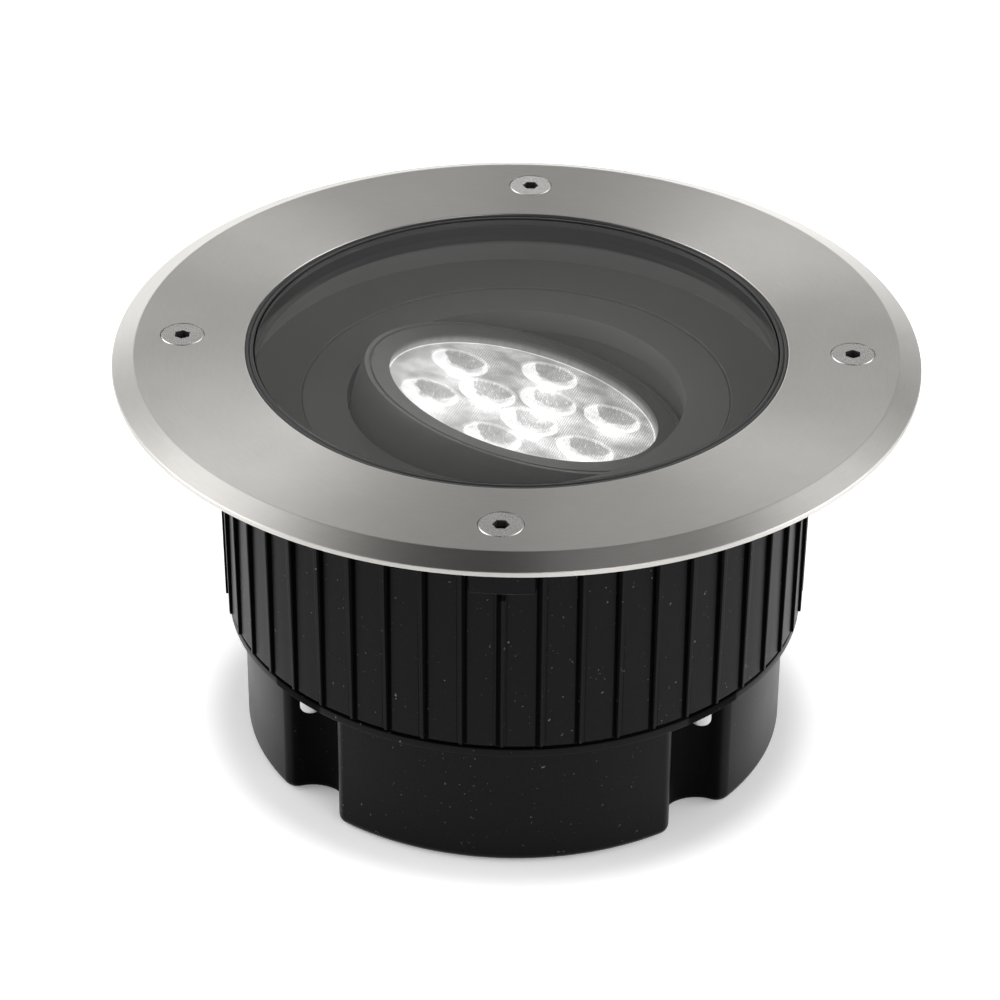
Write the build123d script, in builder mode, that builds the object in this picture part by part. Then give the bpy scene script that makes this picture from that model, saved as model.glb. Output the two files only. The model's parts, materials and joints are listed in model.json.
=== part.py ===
from build123d import *
import math
import os

# In ground well light. Millimetres, +Z up. The origin is the centre of the base's underside.
# Heights are stacked upwards from the base and radii outwards from the lamp, so that one
# changed size moves everything that sits on it or round it.

os.makedirs("parts", exist_ok=True)

# ---------------------------------------------------------------- clearances
fit_gap = 0.1           # round pieces that nest and stay put
running_gap = 0.3       # pieces that move past each other
pin_gap = 0.05          # a pin in the hole that it turns in
thread_gap = 0.05       # a screw in its thread

# ---------------------------------------------------------------- lamp (the tilting module)
lamp_azimuth = 29.0     # compass angle, from +X, that the lamp leans towards
lamp_tilt = 15.6        # lean from upright
rim_opening_radius = 38.0
rim_width = 7.05
rim_height = 9.3        # rim face above the tilt axis
rim_groove_inset = 1.3
rim_groove_width = 0.6
rim_groove_depth = 0.5
shell_skirt = 12.8      # shell's lower edge below the tilt axis
shell_skirt_wall = 4.18
shell_flat = 0.6        # depth of the flat that each washer faces
lens_recess = 3.0       # lens plate below the rim face
lens_plate_thickness = 3.0
lens_plate_gap = 0.5    # plate edge inside the shell's bore
lens_radius = 8.4
lens_dish_depth = 1.5
lens_foot_radius = 4.5
lens_foot_gap = 0.8     # lens foot above the board
lens_margin = 3.2       # outer lenses inside the rim's opening
outer_lens_count = 6
outer_lens_angle = 44.7
inner_lens_circle_radius = 10.2
inner_lens_count = 3
inner_lens_angle = 14.7
lens_leg_radius = 1.4
lens_leg_inset = 4.0    # leg axis inside the shell's bore
chip_side = 3.45
chip_base = 0.8
chip_dome_radius = 1.3
chip_pocket_radius = 2.8
chip_pocket_depth = 2.3
board_depth = 9.0       # board face below the tilt axis
board_thickness = 1.6
board_inset = 1.4       # board edge inside the heat sink's spigot
sink_flange_thickness = 3.2
sink_flange_inset = 0.2
fin_height = 11.0
fin_inset = 8.0         # fins' ends inside the shell's bore
fin_thickness = 2.0
fin_pitch = 6.4
fin_count = 9
sink_screw_count = 4
sink_screw_angle = 45.0         # from the way the lamp leans
sink_screw_radius = 1.0
sink_screw_thread_length = 6.0           # screw in the shell
sink_screw_head_radius = 1.8
sink_screw_head_height = 1.3
sink_screw_hex = 1.5
sink_screw_socket = 0.7
board_screw_count = 3
board_screw_inset = 7.0         # screw axis inside the shell's bore
board_screw_thread_length = 3.5          # screw in the heat sink

# ---------------------------------------------------------------- turntable and its track
turntable_land = 12.2
turntable_thickness = 6.6
turntable_above_axis = 3.3
turntable_flange_width = 7.5
turntable_flange_thickness = 3.0
ear_thickness = 4.8
ear_radius = 8.0
ear_overlap = 1.0
washer_thickness = 1.2
washer_radius = 6.0
pin_radius = 2.5
pin_reach = 4.4                 # pin inside the shell wall
pin_head_radius = 4.2
pin_head_thickness = 1.5
pin_slot_width = 1.0
pin_slot_depth = 0.8
glide_thickness = 1.4
glide_rim_width = 3.7
glide_lap = 5.0                 # track under the turntable's flange
shelf_thickness = 3.0

# ---------------------------------------------------------------- bezel, glass, gasket, trim
bezel_margin = 4.9
bezel_flare = 1.0
bezel_flare_height = 4.7
bezel_wall = 1.2
bezel_floor_thickness = 1.6
bezel_step = 0.6                # bezel floor above the turntable's face
bezel_lip_width = 1.6
bezel_lip_thickness = 1.2
glass_clearance = 0.9           # lamp's highest corner below the glass
glass_flange_width = 6.0
glass_flange_thickness = 4.0
glass_recess = 0.4              # glass face below the trim ring's face
glass_chamfer = 0.4
gasket_sheet = 1.2
gasket_wall = 1.1
gasket_lip = 2.2
gasket_lip_recess = 0.2
gasket_round = 0.5
trim_thickness = 4.0
trim_overhang = 11.0
trim_bevel_width = 6.0
trim_bevel_drop = 2.5
trim_edge_round = 0.3
trim_screw_count = 4
trim_screw_outset = 10.4        # screw circle outside the sleeve's top
trim_screw_length = 10.0
trim_screw_radius = 3.0
trim_screw_head_radius = 6.0
trim_screw_land = 0.3
trim_screw_hex = 4.0
trim_screw_socket = 2.3
trim_screw_bore_radius = 3.3

# ---------------------------------------------------------------- housing (ribbed sleeve)
sleeve_wall = 3.1
sleeve_draft = 0.6
housing_floor_thickness = 3.5
housing_flange_thickness = 6.0
housing_flange_margin = 7.7
insert_wall = 1.25
insert_length = 6.3
insert_boss_radius = 6.5
insert_boss_floor = 1.4
sweep_clearance = 9.14          # heat sink's lowest corner above the floor
rib_count = 48
rib_height_top = 1.4
rib_height_bottom = 0.7
rib_width_top = 2.5
rib_width_bottom = 1.3
rib_root = 1.5
pad_count = 6
pad_width = 17.2
pad_drop = 17.3                 # pad below the flange
pad_rib_gap = 1.2               # end of the pad's own rib below the pad
pad_proud = 0.2                 # pad face beyond the ribs' top

# ---------------------------------------------------------------- base (lobed case)
base_height = 40.6
base_wall = 3.0
base_floor = 3.5
base_flange_thickness = 2.4
base_flange_inset = 0.3
base_flange_lap = 4.3           # flange beyond the lobes
base_draft = 0.3
base_foot_round = 2.5
lobe_count = 4
notch_radius = 9.0
notch_corner_round = 4.0
flange_gasket_thickness = 1.4
flange_gasket_inset = 1.4
flange_screw_edge = 4.7         # screw axis in from the flange's edge
flange_screw_radius = 1.5
flange_screw_head_radius = 2.75
flange_screw_head_height = 5.2
flange_screw_head_round = 1.2
flange_screw_hex = 2.5
flange_screw_socket = 1.4
flange_screw_thread_length = 8.0
flange_boss_radius = 4.5
flange_boss_height = 8.5

# ---------------------------------------------------------------- supply in the base
driver_length = 96.0
driver_width = 46.0
driver_height = 26.0
driver_setback = 11.0           # driver's middle in front of the axis
driver_round = 3.0
driver_chamfer = 1.0
driver_ear_length = 10.0
driver_ear_width = 12.0
driver_ear_thickness = 3.0
driver_pillar_radius = 4.0
driver_pillar_height = 4.0
driver_screw_offset = 5.0
driver_screw_depth = 5.5
small_screw_radius = 1.5
small_head_radius = 2.8
small_head_height = 2.0
small_hex = 2.0
small_socket = 1.1
block_length = 30.0
block_width = 20.0
block_height = 16.0
block_gap = 12.0                # block behind the driver
pole_count = 3
pole_pitch = 10.0
pole_bore_radius = 1.8
pole_height = 6.5
clamp_screw_radius = 1.9
clamp_screw_sink_depth = 1.0
clamp_screw_pitch = 11.0
clamp_slot_width = 0.7
clamp_slot_depth = 0.8
block_screw_radius = 1.25
block_screw_head_radius = 2.3
block_screw_head_height = 1.6
block_screw_hex = 1.5
block_screw_socket = 0.9
block_screw_depth = 2.0
block_screw_seat = 8.0          # head's seat above the base's floor
mains_lead_radius = 1.2
mains_lead_entry_length = 7.0
lead_radius = 2.4
grommet_neck_radius = 7.0
grommet_flange_radius = 10.0
grommet_flange_thickness = 1.5
connector_length = 14.0
connector_width = 9.0
connector_height = 6.0
connector_chamfer = 0.8
connector_pole_pitch = 5.0
connector_pole_side = 2.4
connector_pole_depth = 4.0

# ---------------------------------------------------------------- cable gland
gland_boss_radius = 15.0
gland_boss_proud = 2.2
gland_boss_depth = 9.5
gland_thread_radius = 10.0
gland_hex = 24.0                # across the flats
gland_hex_thickness = 5.0
gland_neck_length = 7.5
gland_neck_radius = 9.5
gland_bore_radius = 4.6
gland_tail = 2.5                # body's thread past the lock nut
gland_washer_width = 2.6
gland_washer_thickness = 1.2
seal_bore_radius = 4.0
seal_radius = 7.1
seal_length = 7.0
lock_nut_thickness = 5.0
cap_start_gap = 0.4
cap_length = 12.0
cap_hex_length = 7.0
cap_nose_radius = 11.4
cap_end_wall = 3.5
cap_mouth_radius = 5.0
cap_round = 2.0

# ================================================================ places worked out from the sizes
hex_corner = 1 / math.sqrt(3)   # a hexagon's corner radius over its width across the flats
tilt = math.radians(lamp_tilt)
azimuth = math.radians(lamp_azimuth)
lean = (math.cos(azimuth), math.sin(azimuth), 0)
across = (-math.sin(azimuth), math.cos(azimuth), 0)

# radii, from the lamp outwards
rim_radius = rim_opening_radius + rim_width
ball_radius = math.hypot(rim_radius, rim_height)
skirt_radius = math.sqrt(ball_radius ** 2 - shell_skirt ** 2)
shell_bore_radius = skirt_radius - shell_skirt_wall
turntable_hole_radius = ball_radius + running_gap
turntable_radius = turntable_hole_radius + turntable_land
turntable_flange_radius = turntable_radius + turntable_flange_width
glide_rim_inner = turntable_flange_radius + running_gap
glide_rim_outer = glide_rim_inner + glide_rim_width
bezel_corner_radius = glide_rim_outer + bezel_margin
bezel_inner_radius = bezel_corner_radius + bezel_flare
bezel_outer_radius = bezel_inner_radius + bezel_wall
gasket_outer_radius = bezel_outer_radius + bezel_lip_width
glass_flange_radius = gasket_outer_radius - gasket_wall - fit_gap
glass_radius = glass_flange_radius - glass_flange_width
trim_opening_radius = glass_radius + gasket_lip + 2 * fit_gap
housing_bore_radius = bezel_outer_radius + fit_gap
housing_seat_radius = gasket_outer_radius + fit_gap
sleeve_bottom_radius = housing_bore_radius + sleeve_wall
sleeve_top_radius = sleeve_bottom_radius + sleeve_draft
trim_screw_circle = sleeve_top_radius + trim_screw_outset
housing_flange_radius = trim_screw_circle + housing_flange_margin
trim_radius = housing_flange_radius + trim_overhang
base_flange_radius = sleeve_bottom_radius - base_flange_inset
lobe_top_radius = base_flange_radius - base_flange_lap
lobe_bottom_radius = lobe_top_radius - base_draft
flange_screw_circle = base_flange_radius - flange_screw_edge

# heights, from the base upwards
base_flange_low = base_height - base_flange_thickness
housing_bottom = base_height + flange_gasket_thickness
housing_floor_top = housing_bottom + housing_floor_thickness
sink_flange_low = shell_skirt + sink_flange_thickness
fin_tip = sink_flange_low + fin_height
fin_stack_edge = ((fin_count - 1) * fin_pitch + fin_thickness) / 2
sink_reach = fin_tip * math.cos(tilt) + fin_stack_edge * math.sin(tilt)
tilt_height = housing_floor_top + sweep_clearance + sink_reach
turntable_low = tilt_height + turntable_above_axis
turntable_top = turntable_low + turntable_thickness
bezel_floor_top = turntable_top + bezel_step
bezel_floor_low = bezel_floor_top - bezel_floor_thickness
turntable_flange_top = bezel_floor_low - running_gap
turntable_flange_low = turntable_flange_top - turntable_flange_thickness
glide_top = turntable_flange_low - running_gap
shelf_top = glide_top - glide_thickness
shelf_low = shelf_top - shelf_thickness
rim_reach = rim_height * math.cos(tilt) + rim_radius * math.sin(tilt)
glass_low = tilt_height + rim_reach + glass_clearance
glass_flange_top = glass_low + glass_flange_thickness
gasket_low = glass_low - gasket_sheet
bezel_lip_low = gasket_low - bezel_lip_thickness
trim_low = glass_flange_top + gasket_sheet
trim_top = trim_low + trim_thickness
housing_flange_low = trim_low - housing_flange_thickness
gland_height = base_flange_low / 2

# planes of the tilted lamp: x leans down the slope, y lies along the tilt axis
lean_down = (lean[0] * math.cos(tilt), lean[1] * math.cos(tilt), -math.sin(tilt))
lamp_up = (lean[0] * math.sin(tilt), lean[1] * math.sin(tilt), math.cos(tilt))
tilt_centre = (0, 0, tilt_height)
lamp_plane = Plane(origin=tilt_centre, x_dir=lean_down, z_dir=lamp_up)
lamp_section = Plane(origin=tilt_centre, x_dir=lean_down, z_dir=(-across[0], -across[1], 0))
lamp_axis = Axis(tilt_centre, lamp_up)


def along_tilt_axis(distance, side):
    """Plane that faces outwards along the tilt axis, on one side of the lamp, with y up."""
    outwards = (side * across[0], side * across[1], 0)
    origin = (outwards[0] * distance, outwards[1] * distance, tilt_height)
    return Plane(origin=origin, x_dir=(-side * lean[0], -side * lean[1], 0), z_dir=outwards)


def head_screw(head_radius, head_height, shank_radius, shank_length, hex_width, socket_depth, head_round=0):
    """Cylinder-head screw: the head stands on z = 0 and the shank hangs below it."""
    with BuildPart() as screw:
        with BuildSketch():
            Circle(head_radius)
        extrude(amount=head_height)
        if head_round:
            fillet(screw.edges().group_by(Axis.Z)[-1], head_round)
        with BuildSketch():
            Circle(shank_radius)
        extrude(amount=-shank_length)
        with BuildSketch(Plane.XY.offset(head_height)):
            RegularPolygon(hex_width * hex_corner, 6)
        extrude(amount=-socket_depth, mode=Mode.SUBTRACT)
    return screw.part


def countersunk_form(grow, length, shank_radius):
    """Countersunk head and shank hanging below z = 0, grown by a clearance."""
    head = trim_screw_head_radius + grow
    land = trim_screw_land + grow
    taper = head - shank_radius
    with BuildPart() as form:
        with BuildSketch(Plane.XZ):
            with BuildLine():
                Polyline(
                    (0, 0),
                    (head, 0),
                    (head, -land),
                    (shank_radius, -land - taper),
                    (shank_radius, -length),
                    (0, -length),
                    close=True,
                )
            make_face()
        revolve(axis=Axis.Z)
    return form.part


# ================================================================ trim ring and its screws
with BuildPart() as trim_ring:
    with BuildSketch(Plane.XZ) as trim_outline:
        with BuildLine():
            Polyline(
                (trim_opening_radius, trim_low),
                (trim_radius, trim_low),
                (trim_radius, trim_top - trim_bevel_drop),
                (trim_radius - trim_bevel_width, trim_top),
                (trim_opening_radius, trim_top),
                close=True,
            )
        make_face()
        fillet(trim_outline.vertices().filter_by_position(Axis.X, 0, trim_radius - fit_gap), trim_edge_round)
    revolve(axis=Axis.Z)
    screw_seat = countersunk_form(fit_gap, trim_thickness + fit_gap, trim_screw_bore_radius)
    with Locations(Plane.XY.offset(trim_top)):
        with PolarLocations(trim_screw_circle, trim_screw_count, start_angle=-90):
            add(screw_seat, mode=Mode.SUBTRACT)
trim_ring.part.label = "trim_ring"
export_step(trim_ring.part, "parts/trim_ring.step")

with BuildPart() as one_trim_screw:
    add(countersunk_form(0, trim_screw_length, trim_screw_radius))
    with BuildSketch():
        RegularPolygon(trim_screw_hex * hex_corner, 6)
    extrude(amount=-trim_screw_socket, mode=Mode.SUBTRACT)

with BuildPart() as trim_screws:
    with Locations(Plane.XY.offset(trim_top)):
        with PolarLocations(trim_screw_circle, trim_screw_count, start_angle=-90):
            add(one_trim_screw.part)
trim_screws.part.label = "trim_screws"
export_step(trim_screws.part, "parts/trim_screws.step")

# ================================================================ glass and its gasket
with BuildPart() as glass:
    with BuildSketch(Plane.XY.offset(glass_low)):
        Circle(glass_flange_radius)
    extrude(amount=glass_flange_thickness)
    with BuildSketch(Plane.XY.offset(glass_flange_top)):
        Circle(glass_radius)
    extrude(amount=trim_top - glass_recess - glass_flange_top)
    chamfer(glass.edges().group_by(Axis.Z)[-1], glass_chamfer)
glass.part.label = "glass"
export_step(glass.part, "parts/glass.step")

gasket_lip_inner = glass_radius + fit_gap
gasket_lip_outer = trim_opening_radius - fit_gap
gasket_lip_top = trim_top - gasket_lip_recess
with BuildPart() as glass_gasket:
    with BuildSketch(Plane.XZ) as gasket_outline:
        with BuildLine():
            Polyline(
                (gasket_lip_inner, gasket_lip_top),
                (gasket_lip_outer, gasket_lip_top),
                (gasket_lip_outer, trim_low),
                (gasket_outer_radius, trim_low),
                (gasket_outer_radius, gasket_low),
                (bezel_inner_radius, gasket_low),
                (bezel_inner_radius, glass_low),
                (glass_flange_radius + fit_gap, glass_low),
                (glass_flange_radius + fit_gap, glass_flange_top),
                (gasket_lip_inner, glass_flange_top),
                close=True,
            )
        make_face()
        fillet(gasket_outline.vertices().group_by(Axis.Y)[-1], gasket_round)
    revolve(axis=Axis.Z)
glass_gasket.part.label = "glass_gasket"
export_step(glass_gasket.part, "parts/glass_gasket.step")

# ================================================================ bezel
bezel_hole_radius = turntable_radius + running_gap
with BuildPart() as bezel:
    with BuildSketch(Plane.XZ):
        with BuildLine():
            Polyline(
                (bezel_inner_radius, gasket_low),
                (gasket_outer_radius, gasket_low),
                (gasket_outer_radius, bezel_lip_low),
                (bezel_outer_radius, bezel_lip_low),
                (bezel_outer_radius, bezel_floor_low),
                (bezel_hole_radius, bezel_floor_low),
                (bezel_hole_radius, bezel_floor_top),
                (bezel_corner_radius, bezel_floor_top),
                (bezel_inner_radius, bezel_floor_top + bezel_flare_height),
                close=True,
            )
        make_face()
    revolve(axis=Axis.Z)
bezel.part.label = "bezel"
export_step(bezel.part, "parts/bezel.step")

# ================================================================ housing: ribbed sleeve, flange, floor
shelf_inner_radius = glide_rim_inner - glide_lap
insert_outer_radius = trim_screw_radius + insert_wall
insert_bore_low = trim_low - insert_length - fit_gap

with BuildPart() as one_rib:
    with BuildSketch(Plane.XY.offset(housing_bottom)):
        with Locations((sleeve_bottom_radius + (rib_height_bottom - rib_root) / 2, 0)):
            Rectangle(rib_root + rib_height_bottom, rib_width_bottom)
    with BuildSketch(Plane.XY.offset(housing_flange_low)):
        with Locations((sleeve_top_radius + (rib_height_top - rib_root) / 2, 0)):
            Rectangle(rib_root + rib_height_top, rib_width_top)
    loft(ruled=True)

pad_low = housing_flange_low - pad_drop
ribs_per_pad = rib_count // pad_count
with BuildPart() as rib_under_pad:
    add(one_rib.part)
    split(bisect_by=Plane.XY.offset(pad_low - pad_rib_gap), keep=Keep.BOTTOM)

with BuildPart() as one_pad:
    with BuildSketch(Plane.XY.offset(pad_low)):
        Circle(sleeve_top_radius + rib_height_top + pad_proud)
        Circle(sleeve_bottom_radius - rib_root, mode=Mode.SUBTRACT)
        with Locations((sleeve_bottom_radius, 0)):
            Rectangle(sleeve_wall * 4, pad_width, mode=Mode.INTERSECT)
    extrude(amount=pad_drop)

with BuildPart() as housing:
    with BuildSketch(Plane.XZ):
        with BuildLine():
            Polyline(
                (0, housing_bottom),
                (sleeve_bottom_radius, housing_bottom),
                (sleeve_top_radius, housing_flange_low),
                (housing_flange_radius, housing_flange_low),
                (housing_flange_radius, trim_low),
                (housing_seat_radius, trim_low),
                (housing_seat_radius, bezel_lip_low),
                (housing_bore_radius, bezel_lip_low),
                (housing_bore_radius, shelf_top),
                (shelf_inner_radius, shelf_top),
                (shelf_inner_radius, shelf_low),
                (housing_bore_radius, shelf_low),
                (housing_bore_radius, housing_floor_top),
                (0, housing_floor_top),
                close=True,
            )
        make_face()
    revolve(axis=Axis.Z)
    for rib in range(1, ribs_per_pad):
        with PolarLocations(0, pad_count, start_angle=-90 + rib * 360 / rib_count):
            add(one_rib.part)
    with PolarLocations(0, pad_count, start_angle=-90):
        add(rib_under_pad.part)
        add(one_pad.part)
    with BuildSketch(Plane.XY.offset(insert_bore_low - insert_boss_floor)):
        with PolarLocations(trim_screw_circle, trim_screw_count, start_angle=-90):
            Circle(insert_boss_radius)
    extrude(until=Until.NEXT)
    with BuildSketch(Plane.XY.offset(insert_bore_low)):
        with PolarLocations(trim_screw_circle, trim_screw_count, start_angle=-90):
            Circle(insert_outer_radius + fit_gap)
    extrude(amount=trim_low - insert_bore_low, mode=Mode.SUBTRACT)
    with BuildSketch(Plane.XY.offset(housing_floor_top)):
        with PolarLocations(flange_screw_circle, lobe_count, start_angle=45):
            Circle(flange_boss_radius)
    extrude(amount=flange_boss_height)
    with BuildSketch(Plane.XY.offset(housing_bottom)):
        with PolarLocations(flange_screw_circle, lobe_count, start_angle=45):
            Circle(flange_screw_radius + thread_gap)
        Circle(grommet_neck_radius + fit_gap)
    extrude(amount=flange_screw_thread_length + fit_gap, mode=Mode.SUBTRACT)
housing.part.label = "housing"
export_step(housing.part, "parts/housing.step")

with BuildPart() as screw_inserts:
    with BuildSketch(Plane.XY.offset(trim_low - insert_length)):
        with PolarLocations(trim_screw_circle, trim_screw_count, start_angle=-90):
            Circle(insert_outer_radius)
            Circle(trim_screw_radius + thread_gap, mode=Mode.SUBTRACT)
    extrude(amount=insert_length)
screw_inserts.part.label = "screw_inserts"
export_step(screw_inserts.part, "parts/screw_inserts.step")

with BuildPart() as glide_ring:
    with BuildSketch(Plane.XZ):
        with BuildLine():
            Polyline(
                (shelf_inner_radius, shelf_top),
                (bezel_outer_radius, shelf_top),
                (bezel_outer_radius, glide_top),
                (glide_rim_outer, glide_top),
                (glide_rim_outer, bezel_floor_low),
                (glide_rim_inner, bezel_floor_low),
                (glide_rim_inner, glide_top),
                (shelf_inner_radius, glide_top),
                close=True,
            )
        make_face()
    revolve(axis=Axis.Z)
glide_ring.part.label = "glide_ring"
export_step(glide_ring.part, "parts/glide_ring.step")

# ================================================================ turntable with its two ears
shell_flat_at = ball_radius - shell_flat
ear_face = shell_flat_at + running_gap + washer_thickness
ear_back = ear_face + ear_thickness

with BuildPart() as turntable:
    with BuildSketch(Plane.XZ):
        with BuildLine():
            Polyline(
                (turntable_hole_radius, turntable_top),
                (turntable_radius, turntable_top),
                (turntable_radius, turntable_flange_top),
                (turntable_flange_radius, turntable_flange_top),
                (turntable_flange_radius, turntable_flange_low),
                (turntable_radius, turntable_flange_low),
                (turntable_radius, turntable_low),
                (turntable_hole_radius, turntable_low),
                close=True,
            )
        make_face()
    revolve(axis=Axis.Z)
    for side in (1, -1):
        with BuildSketch(along_tilt_axis(ear_face, side)):
            Circle(ear_radius)
            with Locations((0, (turntable_above_axis + ear_overlap) / 2)):
                Rectangle(2 * ear_radius, turntable_above_axis + ear_overlap)
            with Locations((0, turntable_above_axis + ear_overlap + ear_radius)):
                Rectangle(2 * ear_radius, 2 * ear_radius, mode=Mode.SUBTRACT)
        extrude(amount=ear_thickness)
        with BuildSketch(along_tilt_axis(0, side)):
            Circle(washer_radius + running_gap)
        extrude(amount=ear_face, mode=Mode.SUBTRACT)
        with BuildSketch(along_tilt_axis(ear_face, side)):
            Circle(pin_radius + thread_gap)
        extrude(amount=ear_thickness, mode=Mode.SUBTRACT)
        with BuildSketch(along_tilt_axis(ear_back, side)):
            Circle(pin_head_radius + running_gap)
        extrude(amount=turntable_flange_radius - ear_back, mode=Mode.SUBTRACT)
turntable.part.label = "turntable"
export_step(turntable.part, "parts/turntable.step")

with BuildPart() as tilt_washers:
    for side in (1, -1):
        with BuildSketch(along_tilt_axis(ear_face - washer_thickness, side)):
            Circle(washer_radius)
            Circle(pin_radius + fit_gap, mode=Mode.SUBTRACT)
        extrude(amount=washer_thickness)
tilt_washers.part.label = "tilt_washers"
export_step(tilt_washers.part, "parts/tilt_washers.step")

with BuildPart() as tilt_pins:
    for side in (1, -1):
        with BuildSketch(along_tilt_axis(shell_flat_at - pin_reach, side)):
            Circle(pin_radius)
        extrude(amount=ear_back - shell_flat_at + pin_reach)
        with BuildSketch(along_tilt_axis(ear_back, side)):
            Circle(pin_head_radius)
        extrude(amount=pin_head_thickness)
        with BuildSketch(along_tilt_axis(ear_back + pin_head_thickness, side)):
            Rectangle(2 * pin_head_radius, pin_slot_width)
        extrude(amount=-pin_slot_depth, mode=Mode.SUBTRACT)
tilt_pins.part.label = "tilt_pins"
export_step(tilt_pins.part, "parts/tilt_pins.step")

# ================================================================ lamp: shell
lens_plate_top = rim_height - lens_recess
lens_plate_low = lens_plate_top - lens_plate_thickness
lens_plate_radius = shell_bore_radius - lens_plate_gap - fit_gap
groove_outer = rim_radius - rim_groove_inset
groove_inner = groove_outer - rim_groove_width
spigot_radius = shell_bore_radius - fit_gap
board_radius = spigot_radius - board_inset
board_low = board_depth + board_thickness
board_screw_circle = shell_bore_radius - board_screw_inset
fin_radius = shell_bore_radius - fin_inset
sink_screw_circle = (shell_bore_radius + skirt_radius) / 2
shell_flat_radius = washer_radius + ear_radius - pin_radius
pin_hole_depth = 2 * pin_reach

with BuildPart() as module_shell:
    with BuildSketch(lamp_section):
        with BuildLine():
            RadiusArc((rim_radius, rim_height), (skirt_radius, -shell_skirt), ball_radius)
            Polyline(
                (skirt_radius, -shell_skirt),
                (shell_bore_radius, -shell_skirt),
                (shell_bore_radius, lens_plate_low),
                (lens_plate_radius + fit_gap, lens_plate_low),
                (lens_plate_radius + fit_gap, lens_plate_top),
                (rim_opening_radius, lens_plate_top),
                (rim_opening_radius, rim_height),
                (groove_inner, rim_height),
                (groove_inner, rim_height - rim_groove_depth),
                (groove_outer, rim_height - rim_groove_depth),
                (groove_outer, rim_height),
                (rim_radius, rim_height),
            )
        make_face()
    revolve(axis=lamp_axis)
    for side in (1, -1):
        with BuildSketch(along_tilt_axis(shell_flat_at, side)):
            Circle(shell_flat_radius)
        extrude(amount=shell_flat, mode=Mode.SUBTRACT)
        with BuildSketch(along_tilt_axis(shell_flat_at - pin_hole_depth, side)):
            Circle(pin_radius + pin_gap)
        extrude(amount=pin_hole_depth, mode=Mode.SUBTRACT)
    with BuildSketch(lamp_plane.offset(-shell_skirt)):
        with PolarLocations(sink_screw_circle, sink_screw_count, start_angle=sink_screw_angle):
            Circle(sink_screw_radius + thread_gap)
    extrude(amount=sink_screw_thread_length + fit_gap, mode=Mode.SUBTRACT)
module_shell.part.label = "module_shell"
export_step(module_shell.part, "parts/module_shell.step")

# ================================================================ lamp: lens plate with its nine lenses
lens_rings = (
    (rim_opening_radius - lens_margin - lens_radius, outer_lens_count, outer_lens_angle),
    (inner_lens_circle_radius, inner_lens_count, inner_lens_angle),
)
lens_spots = [
    Vector(ring_radius, 0).rotate(Axis.Z, start + step * 360 / count)
    for ring_radius, count, start in lens_rings
    for step in range(count)
]
lens_foot = board_depth - lens_foot_gap
dish_radius = (lens_radius ** 2 + lens_dish_depth ** 2) / (2 * lens_dish_depth)
leg_angle = inner_lens_angle + 180 / inner_lens_count
stand_up = (Align.CENTER, Align.CENTER, Align.MIN)


def at_lenses(height):
    """Places of the nine lenses at a height above the tilt axis."""
    return [spot + Vector(0, 0, height) for spot in lens_spots]


with BuildPart(lamp_plane) as lens_plate:
    with BuildSketch(lamp_plane.offset(lens_plate_low)):
        Circle(lens_plate_radius)
    extrude(amount=lens_plate_thickness)
    with BuildSketch(lamp_plane.offset(-board_depth)):
        with PolarLocations(shell_bore_radius - lens_leg_inset, inner_lens_count, start_angle=leg_angle):
            Circle(lens_leg_radius)
    extrude(amount=board_depth + lens_plate_low)
    with Locations(*at_lenses(-lens_foot)):
        Cone(lens_foot_radius, lens_radius, lens_foot + lens_plate_low, align=stand_up)
        Cylinder(chip_pocket_radius, chip_pocket_depth, align=stand_up, mode=Mode.SUBTRACT)
    with Locations(*at_lenses(lens_plate_top + dish_radius - lens_dish_depth)):
        Sphere(dish_radius, mode=Mode.SUBTRACT)
lens_plate.part.label = "lens_plate"
export_step(lens_plate.part, "parts/lens_plate.step")

# ================================================================ lamp: chips, board and its screws
with BuildPart(lamp_plane) as led_chips:
    with Locations(*at_lenses(-board_depth)):
        Box(chip_side, chip_side, chip_base, align=stand_up)
    with Locations(*at_lenses(chip_base - board_depth)):
        Sphere(chip_dome_radius, arc_size1=0, align=stand_up)
led_chips.part.label = "led_chips"
export_step(led_chips.part, "parts/led_chips.step")

with BuildPart(lamp_plane) as led_board:
    with BuildSketch(lamp_plane.offset(-board_low)):
        Circle(board_radius)
        with PolarLocations(board_screw_circle, board_screw_count, start_angle=inner_lens_angle):
            Circle(small_screw_radius + fit_gap, mode=Mode.SUBTRACT)
    extrude(amount=board_thickness)
led_board.part.label = "led_board"
export_step(led_board.part, "parts/led_board.step")

board_screw = head_screw(
    head_radius=small_head_radius,
    head_height=small_head_height,
    shank_radius=small_screw_radius,
    shank_length=board_thickness + board_screw_thread_length,
    hex_width=small_hex,
    socket_depth=small_socket,
)
with BuildPart(lamp_plane) as board_screws:
    with Locations((0, 0, -board_depth)):
        with PolarLocations(board_screw_circle, board_screw_count, start_angle=inner_lens_angle):
            add(board_screw)
board_screws.part.label = "board_screws"
export_step(board_screws.part, "parts/board_screws.step")

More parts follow.
